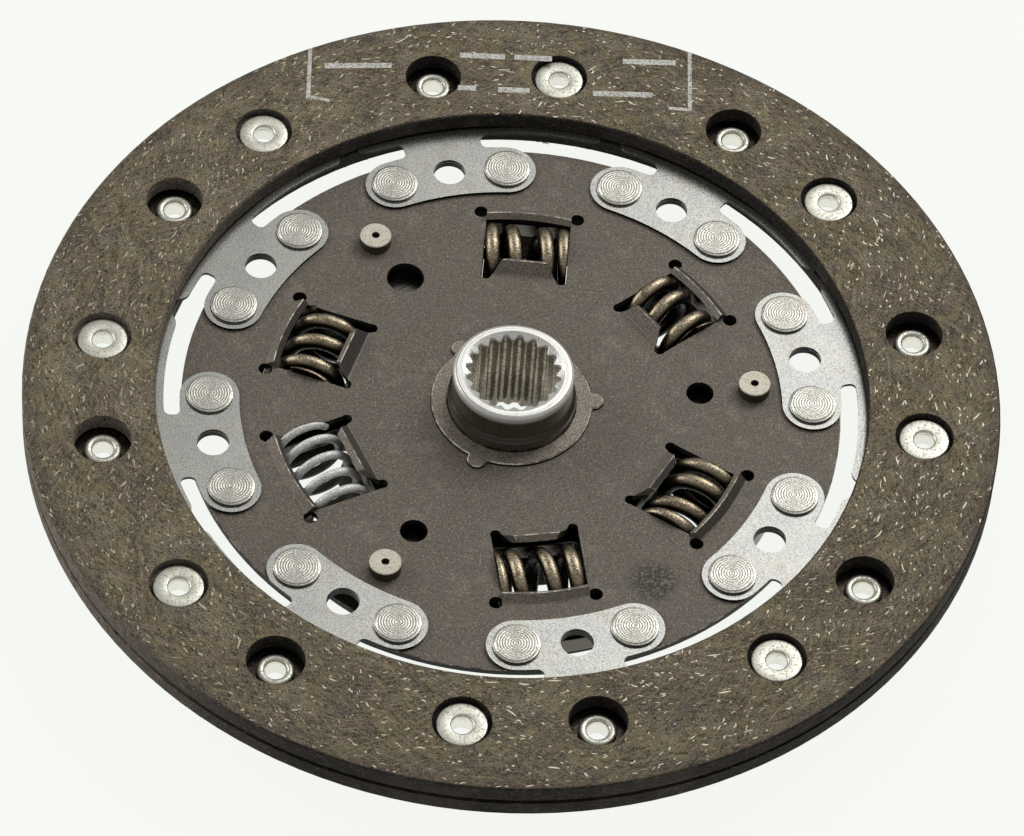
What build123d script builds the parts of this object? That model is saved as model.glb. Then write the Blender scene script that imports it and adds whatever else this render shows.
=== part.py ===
from build123d import *
import os
from dataclasses import dataclass
from math import atan2, ceil, cos, degrees, hypot, radians, sin, tan

# A single-plate clutch disc: two riveted friction facings on waved spring segments, a torsion
# damper of six coil springs between two side plates, and a splined hub whose flange the springs drive.
#
# Frame: origin on the hub axis, at the mid-plane between the two facings; +Z along the axis towards
# the front facing; angles are measured from +X, anticlockwise seen from +Z. Millimetres.

# ---------------------------------------------------------------- friction facings
facing_outer_radius = 90.0
facing_inner_radius = 65.7
facing_thickness = 3.4
facing_gap = 1.0  # held open by the waved segments
facing_edge_break = 0.4

# ---------------------------------------------------------------- rivets through the facings
facing_rivet_inset = 10.5  # rivet circle beyond the facings' inner edge
facing_rivet_head_radius = 4.65
facing_rivet_head_thickness = 0.9
facing_rivet_head_depth = 0.95  # top of the head below the friction face
facing_rivet_shank_radius = 2.4
facing_rivet_bore_radius = 1.9
facing_rivet_curl_radius = 3.5
facing_rivet_curl_height = 0.65
rivet_clearance = 0.05  # radial, every riveted hole over its shank
punch_length = 4.0  # of the tools that cut the holes in sheet, longer than any sheet is thick
head_recess_clearance = 0.75  # radial, recess over the rivet's head
curl_hole_clearance = 1.85  # radial, hole in the far facing over the curled end

# ---------------------------------------------------------------- cushion segments
segment_count = 8
segment_sheet = 0.6
first_tab_angle = 15.7
tab_circle = 55.65
tab_half_angle = 11.27  # from the tab's middle to each of its rivets
tab_lobe_radius = 5.5
tab_hole_circle = 55.9
tab_hole_radius = 3.0
neck_half_angle = 6.75
neck_corner_radius = 1.2
joggle_drop = 0.6  # the tab lies this far below the paddle
joggle_head_gap = 0.1  # from the rivet heads to where the tab starts to rise
joggle_length = 5.0
neck_length = 2.95  # from the lobes' outer edge to the paddle
paddle_margin = 3.0  # from the paddle's outer edge to the facings'
paddle_half_angle = 21.0
paddle_shift_angle = -6.5  # paddle's middle from the tab's middle
paddle_corner_radius = 2.5
front_rivet_shift_angle = -18.9  # rivet of the front facing from the tab's middle
rear_rivet_shift_angle = -0.7
wave_flat_half_width = 9.0  # low flat about the tab's middle
wave_ramp_width = 8.0

# ---------------------------------------------------------------- rivets through the tabs
segment_rivet_head_radius = 4.35
segment_rivet_head_height = 0.75
segment_rivet_head_break = 0.2
segment_rivet_shank_radius = 2.5
segment_rivet_tail_radius = 3.9
segment_rivet_tail_height = 1.2

# ---------------------------------------------------------------- side plates
plate_sheet = 1.4
front_plate_radius = 60.9
rear_plate_radius = 50.2
plate_spacing = 8.2  # between the plates' inner faces
rear_plate_bore_clearance = 0.55

# ---------------------------------------------------------------- spring windows
window_inner_gap = 0.92  # from the lips' fold lines to the heavy springs, towards the hub and away
window_outer_gap = 0.98
window_relief_radius = 1.3
window_relief_inset = 0.15  # relief hole's centre inside the outer fold line
window_relief_offset = 1.1  # relief hole's centre beyond the window's end
window_notch_radius = 1.0
window_notch_offset = 0.6  # notch's centre beyond the inner fold line
window_notch_inset = 0.9  # and inside the window's end
lip_bend_radius = 0.8
outer_lip_reach = 1.5
outer_lip_rise = 1.4
inner_lip_reach = 2.0
inner_lip_rise = 2.26
inner_lip_base_inset = 1.9  # lip's foot inside each end of the window
inner_lip_top_inset = 3.75

# ---------------------------------------------------------------- damper springs
spring_circle = 38.07
spring_seat_clearance = 0.1  # at each end of a spring
heavy_wire_radius = 1.45
heavy_coil_radius = 5.6
heavy_active_pitch = 6.1
heavy_closed_pitch = 3.25
heavy_active_turns = 1.36
light_wire_radius = 0.8
light_coil_radius = 6.15
light_active_pitch = 4.15
light_closed_pitch = 3.0
light_active_turns = 3.4
spring_1_half_length = 8.0  # of the window that the spring fills
spring_2_half_length = 7.1
spring_3_half_length = 8.2
spring_4_half_length = 8.0
spring_5_half_length = 8.0
light_half_length = 9.0

# ---------------------------------------------------------------- stop pins and sight holes
stop_pin_circle = 45.2
stop_pin_angles = (128.0, 9.3, -116.8)
stop_pin_radius = 3.6
stop_pin_neck_radius = 2.2
stop_pin_head_radius = 2.95
stop_pin_head_height = 2.2
stop_pin_head_break = 0.15
stop_pin_centre_radius = 0.75
stop_pin_centre_depth = 1.6
stop_angle = 5.0  # twist each way before a pin meets its slot in the flange
pin_slot_clearance = 0.3
sight_hole_circle = 35.1
sight_hole_radii = (3.5, 2.55, 2.55)  # in line with the stop pins

# ---------------------------------------------------------------- hub
hub_front_projection = 4.4  # beyond the front friction face
hub_rear_projection = 0.5  # beyond the rear side plate
hub_nose_radius = 11.15
hub_nose_break = 0.5
hub_journal_radius = 11.85
hub_shoulder_height = 3.4  # above the front side plate, where the nose widens to the journal
hub_shoulder_slope = 0.8
flange_radius = 52.2
flange_thickness = 3.6
flange_window_inner_gap = 0.62  # from the flange's windows to the heavy springs
flange_window_outer_gap = 0.78
flange_window_corner = 1.0
spline_teeth = 20
spline_first_space_angle = 13.25
spline_minor_radius = 7.75
spline_major_radius = 8.8
spline_space_half_width_inside = 0.98
spline_space_half_width_outside = 0.33
spline_mouth_radius = 9.45
spline_mouth_depth = 0.85

# ---------------------------------------------------------------- friction pack round the hub
bush_running_clearance = 0.08
bush_collar_radius = 14.85
bush_collar_projection = 0.6  # above the front side plate
bush_flange_radius = 20.0
bush_ear_radius = 1.8
bush_ear_circle = 15.2
bush_ear_angles = (5.8, 131.2, -111.2)
bush_seat_clearance = 0.1
rear_washer_radius = 20.0
rear_washer_thickness = 0.8
rear_pack_bore_clearance = 0.4
thrust_ring_thickness = 0.5
thrust_ring_radius = 20.6
thrust_lug_width = 6.0
thrust_lug_thickness = 0.8
thrust_lug_count = 3
thrust_lug_slot_clearance = 0.2
diaphragm_sheet = 0.45
diaphragm_inner_radius = 13.2
diaphragm_outer_radius = 19.3

# ---------------------------------------------------------------- radii that follow
facing_rivet_circle = facing_inner_radius + facing_rivet_inset
paddle_inner_radius = tab_circle + tab_lobe_radius + neck_length
paddle_outer_radius = facing_outer_radius - paddle_margin
spring_inner_reach = spring_circle - heavy_coil_radius - heavy_wire_radius
spring_outer_reach = spring_circle + heavy_coil_radius + heavy_wire_radius
window_inner_fold_radius = spring_inner_reach - window_inner_gap
window_outer_fold_radius = spring_outer_reach + window_outer_gap
window_relief_circle = window_outer_fold_radius - window_relief_inset
window_notch_circle = window_inner_fold_radius + window_notch_offset
flange_window_inner_radius = spring_inner_reach - flange_window_inner_gap
flange_window_outer_radius = spring_outer_reach + flange_window_outer_gap

# ---------------------------------------------------------------- levels that follow
front_face_z = facing_gap / 2 + facing_thickness
paddle_low_z = -facing_gap / 2
paddle_high_z = facing_gap / 2 - segment_sheet
front_plate_top = paddle_low_z - joggle_drop
front_plate_bottom = front_plate_top - plate_sheet
rear_plate_top = front_plate_bottom - plate_spacing
rear_plate_bottom = rear_plate_top - plate_sheet
damper_mid_z = (front_plate_bottom + rear_plate_top) / 2
flange_top = damper_mid_z + flange_thickness / 2
flange_bottom = damper_mid_z - flange_thickness / 2
hub_top = front_face_z + hub_front_projection
hub_bottom = rear_plate_bottom - hub_rear_projection
segment_pitch_angle = 360 / segment_count
tab_angles = [first_tab_angle + i * segment_pitch_angle for i in range(segment_count)]


@dataclass(frozen=True)
class Coil:
    """A right-hand compression spring with closed, ground ends."""

    wire_radius: float
    coil_radius: float
    active_pitch: float
    closed_pitch: float
    active_turns: float

    def travel(self, turns):
        """Distance along the axis of the wire's centre, that many turns from the middle."""
        open_turns = min(abs(turns), self.active_turns / 2)
        closed_turns = abs(turns) - open_turns
        distance = open_turns * self.active_pitch + closed_turns * self.closed_pitch
        return distance if turns > 0 else -distance


@dataclass(frozen=True)
class Station:
    """One spring window: where it lies, its half length, and the spring in it."""

    node: str
    angle: float
    half_length: float
    crest_turns: float  # a top crest lies this many turns from the spring's middle
    coil: Coil


heavy_coil = Coil(
    heavy_wire_radius, heavy_coil_radius, heavy_active_pitch, heavy_closed_pitch, heavy_active_turns
)
light_coil = Coil(
    light_wire_radius, light_coil_radius, light_active_pitch, light_closed_pitch, light_active_turns
)
stations = (
    Station("damper_spring_1", 89.2, spring_1_half_length, 0.62, heavy_coil),
    Station("damper_spring_2", 41.1, spring_2_half_length, 0.72, heavy_coil),
    Station("damper_spring_3", -27.7, spring_3_half_length, 0.58, heavy_coil),
    Station("damper_spring_4", -78.5, spring_4_half_length, 0.75, heavy_coil),
    Station("light_damper_spring", -151.8, light_half_length, 0.27, light_coil),
    Station("damper_spring_5", 164.3, spring_5_half_length, 0.07, heavy_coil),
)


# ---------------------------------------------------------------- helpers
def at(radius, angle, height=0.0):
    """Place at a radius and an angle about the hub axis, turned so that local +X points outwards."""
    return Rot(0, 0, angle) * Pos(radius, 0, height)


def disc(radius, low, high):
    return Pos(0, 0, low) * extrude(Circle(radius), high - low)


def ring(outer_radius, inner_radius, low, high):
    return Pos(0, 0, low) * extrude(Circle(outer_radius) - Circle(inner_radius), high - low)


def block(low, high):
    """A box between two corners."""
    size = [b - a for a, b in zip(low, high)]
    return Pos(*low) * Box(*size, align=(Align.MIN, Align.MIN, Align.MIN))


def turned(points):
    """A solid of revolution about the hub axis from a closed (radius, height) outline."""
    return revolve(Plane.XZ * make_face(Polyline(*points, close=True)), axis=Axis.Z)


def flipped(shape, height):
    """The shape turned over about the level at that height."""
    return mirror(shape, about=Plane(origin=(0, 0, height), z_dir=(0, 0, 1)))


# ---------------------------------------------------------------- facings and their rivets
def front_rivet_angles():
    return [angle + front_rivet_shift_angle for angle in tab_angles]


def rear_rivet_angles():
    return [angle + rear_rivet_shift_angle for angle in tab_angles]


def facing(head_angles, curl_angles):
    """The front facing, with a stepped hole for each of its rivets and a clear hole for each other."""
    back = facing_gap / 2
    head_seat = front_face_z - facing_rivet_head_depth - facing_rivet_head_thickness
    body = ring(facing_outer_radius, facing_inner_radius, back, front_face_z)
    body = chamfer(body.edges().group_by(Axis.Z)[-1], facing_edge_break)
    shank_hole = disc(facing_rivet_shank_radius + rivet_clearance, back, front_face_z)
    recess = disc(facing_rivet_head_radius + head_recess_clearance, head_seat, front_face_z)
    clear_hole = disc(facing_rivet_curl_radius + curl_hole_clearance, back, front_face_z)
    cuts = [at(facing_rivet_circle, angle) * (shank_hole + recess) for angle in head_angles]
    cuts += [at(facing_rivet_circle, angle) * clear_hole for angle in curl_angles]
    return body - cuts


def facing_rivet():
    """A tubular rivet of the front facing: flat head in the recess, far end curled over the paddle."""
    head_top = front_face_z - facing_rivet_head_depth
    head_seat = head_top - facing_rivet_head_thickness
    curl_top = paddle_high_z
    curl_end = curl_top - facing_rivet_curl_height
    wall = facing_rivet_shank_radius - facing_rivet_bore_radius
    bore = facing_rivet_bore_radius
    shank = facing_rivet_shank_radius
    outline = [
        (bore + wall / 2, head_top),
        (facing_rivet_head_radius - wall / 2, head_top),
        (facing_rivet_head_radius, head_top - wall / 2),
        (facing_rivet_head_radius, head_seat),
        (shank, head_seat),
        (shank, curl_top),
        (facing_rivet_curl_radius, curl_top),
        (facing_rivet_curl_radius - wall / 2, curl_end + wall / 3),
        (facing_rivet_curl_radius - wall * 1.4, curl_end),
        (bore + wall, curl_end + wall / 3),
        (bore, curl_top),
        (bore, head_top - wall / 2),
    ]
    return turned(outline)


def facing_rivets(angles):
    rivet = facing_rivet()
    return Compound(children=[at(facing_rivet_circle, angle) * rivet for angle in angles])


# ---------------------------------------------------------------- cushion segments
def segment_outline():
    """Flat outline with the tab's middle on +X: two lobes on an arc, a neck and a wide paddle."""
    tab_arc = CenterArc((0, 0), tab_circle, -tab_half_angle, 2 * tab_half_angle)
    tab = SlotArc(tab_arc, 2 * tab_lobe_radius)
    neck_outer = paddle_inner_radius + paddle_corner_radius
    neck = sector(tab_circle, neck_outer, -neck_half_angle, neck_half_angle)
    start = paddle_shift_angle - paddle_half_angle
    paddle = sector(paddle_inner_radius, paddle_outer_radius, start, start + 2 * paddle_half_angle)
    paddle = fillet(paddle.vertices(), paddle_corner_radius)
    whole = tab + neck + paddle
    return fillet(neck_corners(whole), neck_corner_radius)


def sector(inner_radius, outer_radius, start_angle, end_angle):
    """Flat part of a ring between two angles."""
    sweep_angle = end_angle - start_angle
    inner = CenterArc((0, 0), inner_radius, start_angle, sweep_angle)
    outer = CenterArc((0, 0), outer_radius, start_angle, sweep_angle)
    return make_face(inner + outer + Line(inner @ 0, outer @ 0) + Line(inner @ 1, outer @ 1))


def neck_corners(outline):
    """The four inward corners where the neck meets the tab and the paddle."""
    corners = []
    for vertex in outline.vertices():
        radius = hypot(vertex.X, vertex.Y)
        angle = degrees(atan2(vertex.Y, vertex.X))
        on_neck = abs(abs(angle) - neck_half_angle) < 0.01
        if on_neck and tab_circle < radius < paddle_inner_radius + 0.01:
            corners.append(vertex)
    return corners


def strip(bottom_points, plane, depth):
    """Sheet that follows a bottom line, pushed out both ways from the plane it is drawn on."""
    top_points = [(x, z + segment_sheet) for x, z in reversed(bottom_points)]
    return extrude(plane * make_face(Polyline(*bottom_points, *top_points, close=True)), depth, both=True)


def cushion_segment():
    """A segment about +X: tab low on the side plate, paddle waved between the two facings."""
    outline = segment_outline()
    reach = paddle_outer_radius
    joggle_start = tab_circle * cos(radians(tab_half_angle)) + segment_rivet_head_radius + joggle_head_gap
    joggle_end = joggle_start + joggle_length
    split_radius = (tab_circle + tab_lobe_radius + paddle_inner_radius) / 2
    split_width = 2 * wave_flat_half_width
    tab_zone = Circle(split_radius) + Pos(joggle_end / 2, 0) * Rectangle(joggle_end + 1.0, split_width)
    joggle = strip(
        [
            (0, front_plate_top),
            (joggle_start, front_plate_top),
            (joggle_end, paddle_low_z),
            (reach, paddle_low_z),
        ],
        Plane.XZ,
        reach,
    )
    ramp_end = wave_flat_half_width + wave_ramp_width
    wave = strip(
        [
            (-reach, paddle_high_z),
            (-ramp_end, paddle_high_z),
            (-wave_flat_half_width, paddle_low_z),
            (wave_flat_half_width, paddle_low_z),
            (ramp_end, paddle_high_z),
            (reach, paddle_high_z),
        ],
        Plane.YZ,
        reach,
    )
    tab = extrude(outline & tab_zone, facing_gap + joggle_drop + segment_sheet, both=True) & joggle
    paddle = extrude(outline - tab_zone, facing_gap + segment_sheet, both=True) & wave
    tab_rivet_punch = Cylinder(tab_rivet_hole(), punch_length)
    holes = [at(tab_circle, side * tab_half_angle) * tab_rivet_punch for side in (-1, 1)]
    holes.append(at(tab_hole_circle, 0) * Cylinder(tab_hole_radius, punch_length))
    paddle_hole = Cylinder(facing_rivet_shank_radius + rivet_clearance, punch_length)
    holes.append(at(facing_rivet_circle, front_rivet_shift_angle) * paddle_hole)
    holes.append(at(facing_rivet_circle, rear_rivet_shift_angle) * paddle_hole)
    return (tab + paddle) - holes


def tab_rivet_hole():
    return segment_rivet_shank_radius + rivet_clearance


def segment_rivet():
    """A solid rivet: turned head on the tab, shank through tab and plate, upset tail below."""
    head_seat = front_plate_top + segment_sheet
    head_top = head_seat + segment_rivet_head_height
    tail_end = front_plate_bottom - segment_rivet_tail_height
    edge = segment_rivet_head_break
    outline = [
        (0, head_top),
        (segment_rivet_head_radius - edge, head_top),
        (segment_rivet_head_radius, head_top - edge),
        (segment_rivet_head_radius, head_seat),
        (segment_rivet_shank_radius, head_seat),
        (segment_rivet_shank_radius, front_plate_bottom),
        (segment_rivet_tail_radius, front_plate_bottom),
        (segment_rivet_tail_radius, tail_end + 2 * edge),
        (segment_rivet_tail_radius - 2 * edge, tail_end),
        (0, tail_end),
    ]
    return turned(outline)


def segment_rivet_angles():
    return [tab + side * tab_half_angle for tab in tab_angles for side in (-1, 1)]


def segment_rivets():
    rivet = segment_rivet()
    return Compound(children=[at(tab_circle, angle) * rivet for angle in segment_rivet_angles()])


# ---------------------------------------------------------------- side plates
def lip_section(fold_radius, reach, rise, outward):
    """Section of a lip folded up out of the front plate; outward is +1 or -1."""
    angle = atan2(rise, reach)
    start = fold_radius - outward * lip_bend_radius * tan(angle / 2)
    straight = hypot(reach, rise) - lip_bend_radius * tan(angle / 2)
    centre_z = front_plate_top + lip_bend_radius

    def on_bend(radius, turn):
        return (start + outward * radius * sin(turn), centre_z - radius * cos(turn))

    under_radius = lip_bend_radius + plate_sheet
    inner = [on_bend(lip_bend_radius, turn) for turn in (0, angle / 2, angle)]
    under = [on_bend(under_radius, turn) for turn in (angle, angle / 2, 0)]
    along = (outward * straight * cos(angle), straight * sin(angle))
    tip = (inner[2][0] + along[0], inner[2][1] + along[1])
    under_tip = (under[0][0] + along[0], under[0][1] + along[1])
    outline = ThreePointArc(*inner) + Polyline(inner[2], tip, under_tip, under[0])
    outline += ThreePointArc(*under) + Line(under[2], inner[0])
    return Plane.XZ * make_face(outline), start


def outer_lip(half_length):
    """Lip along the window's outer edge, curved about the hub axis."""
    section, _ = lip_section(window_outer_fold_radius, outer_lip_reach, outer_lip_rise, -1)
    arc = 4 * degrees(atan2(half_length, window_outer_fold_radius))
    lip = Rot(0, 0, -arc / 2) * revolve(section, axis=Axis.Z, revolution_arc=arc)
    low = (0, -half_length, front_plate_bottom - 1)
    high = (facing_inner_radius, half_length, hub_top)
    return lip & block(low, high)


def inner_lip(half_length):
    """Lip along the window's inner edge: straight, and narrower towards its free edge."""
    section, start = lip_section(window_inner_fold_radius, inner_lip_reach, inner_lip_rise, 1)
    foot = half_length - inner_lip_base_inset
    top = half_length - inner_lip_top_inset
    tip = window_inner_fold_radius + inner_lip_reach
    spread = (foot - top) / (tip - start)
    far = tip + 2 * plate_sheet
    far_half_width = top - spread * (far - tip)
    plan = make_face(
        Polyline((start, -foot), (far, -far_half_width), (far, far_half_width), (start, foot), close=True)
    )
    trim = Pos(0, 0, front_plate_bottom - 1) * extrude(plan, hub_top - front_plate_bottom)
    return extrude(section, half_length, both=True) & trim


def window_opening(half_length):
    """Hole punched for one window, with its corner reliefs and the notches beside the inner lip."""
    _, inner_edge = lip_section(window_inner_fold_radius, inner_lip_reach, inner_lip_rise, 1)
    _, outer_edge = lip_section(window_outer_fold_radius, outer_lip_reach, outer_lip_rise, -1)
    depth = outer_edge - inner_edge
    slot = Pos(inner_edge + depth / 2, 0) * Rectangle(depth, 2 * half_length)
    slot &= Circle(outer_edge)
    for side in (-1, 1):
        relief_y = side * (half_length + window_relief_offset)
        relief_x = (window_relief_circle**2 - relief_y**2) ** 0.5
        slot += Pos(relief_x, relief_y) * Circle(window_relief_radius)
        notch_y = side * (half_length - window_notch_inset)
        notch_x = (window_notch_circle**2 - notch_y**2) ** 0.5
        slot += Pos(notch_x, notch_y) * Circle(window_notch_radius)
    return slot


def windowed_plate(outer_radius, bore):
    """A side plate in the front plate's place: windows with lips, and holes for the stop pins."""
    flat = Circle(outer_radius) - bore
    flat -= [Rot(0, 0, s.angle) * window_opening(s.half_length) for s in stations]
    pin_hole = Circle(stop_pin_neck_radius + rivet_clearance)
    flat -= [at(stop_pin_circle, angle) * pin_hole for angle in stop_pin_angles]
    plate = Pos(0, 0, front_plate_bottom) * extrude(flat, plate_sheet)
    for station in stations:
        turn = Rot(0, 0, station.angle)
        plate += turn * outer_lip(station.half_length)
        plate += turn * inner_lip(station.half_length)
    return plate


def bush_plan(clearance):
    """Outline of the bush's collar with its three half-round ears, grown by a clearance."""
    plan = Circle(bush_collar_radius + clearance)
    return plan + [at(bush_ear_circle, a) * Circle(bush_ear_radius + clearance) for a in bush_ear_angles]


def front_side_plate():
    plate = windowed_plate(front_plate_radius, bush_plan(bush_seat_clearance))
    tab_rivet_punch = Cylinder(tab_rivet_hole(), punch_length)
    tab_hole_punch = Cylinder(tab_hole_radius, punch_length)
    holes = [at(tab_circle, a, front_plate_top) * tab_rivet_punch for a in segment_rivet_angles()]
    holes += [at(tab_hole_circle, a, front_plate_top) * tab_hole_punch for a in tab_angles]
    for angle, radius in zip(stop_pin_angles, sight_hole_radii):
        holes.append(at(sight_hole_circle, angle, front_plate_top) * Cylinder(radius, punch_length))
    return plate - holes


def rear_side_plate():
    bore = Circle(hub_journal_radius + rear_plate_bore_clearance)
    slot = Rectangle(
        thrust_lug_thickness + 2 * thrust_lug_slot_clearance,
        thrust_lug_width + 2 * thrust_lug_slot_clearance,
    )
    bore += [at(thrust_lug_circle(), angle) * slot for angle in thrust_lug_angles()]
    return flipped(windowed_plate(rear_plate_radius, bore), damper_mid_z)


# ---------------------------------------------------------------- stop pins
def stop_pin():
    """A shouldered pin between the side plates, headed over each of them, with centre marks."""
    mid = damper_mid_z
    half = plate_spacing / 2
    neck = half + plate_sheet
    end = neck + stop_pin_head_height
    edge = stop_pin_head_break
    drilled = end - stop_pin_centre_depth
    half_outline = [
        (stop_pin_radius, half),
        (stop_pin_neck_radius, half),
        (stop_pin_neck_radius, neck),
        (stop_pin_head_radius, neck),
        (stop_pin_head_radius, end - edge),
        (stop_pin_head_radius - edge, end),
        (stop_pin_centre_radius, end),
        (stop_pin_centre_radius, drilled),
        (0, drilled - stop_pin_centre_radius / 2),
    ]
    upper = [(radius, mid + height) for radius, height in half_outline]
    lower = [(radius, mid - height) for radius, height in reversed(half_outline)]
    return turned(upper + lower)


# ---------------------------------------------------------------- damper springs
def coil_spring(station):
    """A coil along Y at the spring circle, about +X: a chain of half-turn arcs that meet tangentially.

    Each half turn is a semicircle in an upright plane through its two ends, so the wire leaves every
    half turn straight up or straight down, and the next one takes it up without a kink.
    """
    coil = station.coil
    seat = station.half_length - spring_seat_clearance
    end_turns = ceil(station.half_length / coil.closed_pitch) + 1
    half_turns = []
    for step in range(-2 * end_turns, 2 * end_turns):
        middle = station.crest_turns + step / 2
        start = coil.travel(middle - 0.25)
        end = coil.travel(middle + 0.25)
        if start < seat + coil.wire_radius and end > -seat - coil.wire_radius:
            half_turns.append(half_turn(coil, start, end, 1 if step % 2 == 0 else -1))
    wire = half_turns[0] + half_turns[1:]
    reach = 2 * (coil.coil_radius + 2 * coil.wire_radius)
    stock = seat + 2 * coil.wire_radius + coil.active_pitch
    grinding = Box(reach, stock - seat, reach)
    wire -= [Pos(0, side * (seat + stock) / 2, 0) * grinding for side in (-1, 1)]
    spring = max(wire.solids(), key=lambda solid: solid.volume)
    return at(spring_circle, station.angle, damper_mid_z) * spring


def half_turn(coil, start, end, side):
    """Half a turn of wire over the top (side +1) or under the bottom (side -1) of the coil.

    Distances start and end run clockwise about the hub, which is along -Y here. A right-hand wire
    crosses the top from the outside to the inside as it runs that way.
    """
    first = Vector(side * coil.coil_radius, -start, 0)
    last = Vector(-side * coil.coil_radius, -end, 0)
    across = (last - first).normalized()
    section = Plane(origin=first, x_dir=across, z_dir=(0, 0, 1)) * Circle(coil.wire_radius)
    centre = (first + last) * 0.5
    turn_axis = Axis(centre, across.cross(Vector(0, 0, -side)))
    return revolve(section, axis=turn_axis, revolution_arc=180)


# ---------------------------------------------------------------- hub
def hub():
    """Splined hub with its flange: six spring windows, and three open slots for the stop pins."""
    shoulder_z = front_plate_top + hub_shoulder_height
    outline = [
        (spline_minor_radius, hub_top - spline_mouth_depth),
        (spline_mouth_radius, hub_top),
        (hub_nose_radius - hub_nose_break, hub_top),
        (hub_nose_radius, hub_top - hub_nose_break),
        (hub_nose_radius, shoulder_z),
        (hub_journal_radius, shoulder_z - hub_shoulder_slope),
        (hub_journal_radius, flange_top),
        (flange_radius, flange_top),
        (flange_radius, flange_bottom),
        (hub_journal_radius, flange_bottom),
        (hub_journal_radius, hub_bottom + hub_nose_break),
        (hub_journal_radius - hub_nose_break, hub_bottom),
        (spline_mouth_radius, hub_bottom),
        (spline_minor_radius, hub_bottom + spline_mouth_depth),
    ]
    openings = spline_spaces()
    openings += [Rot(0, 0, s.angle) * flange_window(s.half_length) for s in stations]
    openings += [Rot(0, 0, angle) * pin_slot() for angle in stop_pin_angles]
    return turned(outline) - openings


def spline_spaces():
    """The spaces between the spline's teeth, narrower towards their roots."""
    inner = spline_minor_radius - 1.0
    outer = spline_major_radius + 1.0
    taper = spline_space_half_width_inside - spline_space_half_width_outside
    slope = taper / (spline_major_radius - spline_minor_radius)
    half_in = spline_space_half_width_inside + slope * (spline_minor_radius - inner)
    half_out = spline_space_half_width_outside - slope * (outer - spline_major_radius)
    plan = make_face(
        Polyline((inner, -half_in), (outer, -half_out), (outer, half_out), (inner, half_in), close=True)
    )
    plan &= Circle(spline_major_radius)
    space = Pos(0, 0, hub_bottom) * extrude(plan, hub_top - hub_bottom)
    pitch = 360 / spline_teeth
    return [Rot(0, 0, spline_first_space_angle + i * pitch) * space for i in range(spline_teeth)]


def flange_window(half_length):
    """Opening in the flange that a spring's ends bear on."""
    depth = flange_window_outer_radius - flange_window_inner_radius
    plan = RectangleRounded(depth, 2 * half_length, flange_window_corner)
    middle = flange_window_inner_radius + depth / 2
    return Pos(middle, 0, flange_bottom) * extrude(plan, flange_thickness)


def pin_slot():
    """Slot open at the flange's rim, as wide as a stop pin needs over the whole twist."""
    width = stop_pin_radius + pin_slot_clearance
    swing = CenterArc((0, 0), stop_pin_circle, -stop_angle, 2 * stop_angle)
    plan = SlotArc(swing, 2 * width)
    half_angle = stop_angle + degrees(atan2(width, stop_pin_circle))
    plan += sector(stop_pin_circle, flange_radius + 1.0, -half_angle, half_angle)
    return Pos(0, 0, flange_bottom) * extrude(plan, flange_thickness)


# ---------------------------------------------------------------- friction pack
def front_friction_bush():
    """Collar round the hub, keyed in the front plate by three ears, with a thrust flange below it."""
    bore = Circle(hub_journal_radius + bush_running_clearance)
    collar_height = plate_sheet + bush_collar_projection
    collar = Pos(0, 0, front_plate_bottom) * extrude(bush_plan(0) - bore, collar_height)
    thrust_height = front_plate_bottom - flange_top
    thrust = Pos(0, 0, flange_top) * extrude(Circle(bush_flange_radius) - bore, thrust_height)
    return collar + thrust


def rear_friction_washer():
    bore = hub_journal_radius + rear_pack_bore_clearance
    return ring(rear_washer_radius, bore, flange_bottom - rear_washer_thickness, flange_bottom)


def thrust_lug_circle():
    return thrust_ring_radius + thrust_lug_thickness / 2


def thrust_lug_angles():
    return [stop_pin_angles[0] + 60 + i * 360 / thrust_lug_count for i in range(thrust_lug_count)]


def thrust_ring():
    """Steel ring behind the friction washer, kept from turning by lugs through the rear plate."""
    top = flange_bottom - rear_washer_thickness
    bottom = top - thrust_ring_thickness
    body = ring(thrust_ring_radius, hub_journal_radius + rear_pack_bore_clearance, bottom, top)
    half_width = thrust_lug_width / 2
    lug = block(
        (thrust_ring_radius - thrust_lug_thickness, -half_width, rear_plate_bottom),
        (thrust_ring_radius + thrust_lug_thickness, half_width, top),
    )
    lug -= block(
        (0, -half_width, rear_plate_bottom),
        (thrust_ring_radius, half_width, bottom),
    )
    return body + [Rot(0, 0, angle) * lug for angle in thrust_lug_angles()]


def diaphragm_spring():
    """Coned spring washer: its inner edge presses the thrust ring, its outer edge the rear plate."""
    top = flange_bottom - rear_washer_thickness - thrust_ring_thickness
    bottom = rear_plate_top
    outline = [
        (diaphragm_inner_radius, top),
        (diaphragm_inner_radius, top - diaphragm_sheet),
        (diaphragm_outer_radius, bottom),
        (diaphragm_outer_radius, bottom + diaphragm_sheet),
    ]
    return turned(outline)


# ---------------------------------------------------------------- all the pieces
def pieces():
    """Every node of the clutch disc, by name."""
    front_angles = front_rivet_angles()
    rear_angles = rear_rivet_angles()
    made = {
        "front_facing": facing(front_angles, rear_angles),
        "rear_facing": flipped(facing(rear_angles, front_angles), 0),
        "front_facing_rivets": facing_rivets(front_angles),
        "rear_facing_rivets": flipped(facing_rivets(rear_angles), 0),
        "segment_rivets": segment_rivets(),
        "front_side_plate": front_side_plate(),
        "rear_side_plate": rear_side_plate(),
        "hub": hub(),
        "front_friction_bush": front_friction_bush(),
        "rear_friction_washer": rear_friction_washer(),
        "thrust_ring": thrust_ring(),
        "diaphragm_spring": diaphragm_spring(),
    }
    segment = cushion_segment()
    for number, angle in enumerate(tab_angles, 1):
        made[f"cushion_segment_{number}"] = Rot(0, 0, angle) * segment
    pin = stop_pin()
    for number, angle in enumerate(stop_pin_angles, 1):
        made[f"stop_pin_{number}"] = at(stop_pin_circle, angle) * pin
    for station in stations:
        made[station.node] = coil_spring(station)
    return made


os.makedirs("parts", exist_ok=True)
for name, shape in pieces().items():
    export_step(shape, f"parts/{name}.step")
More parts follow.
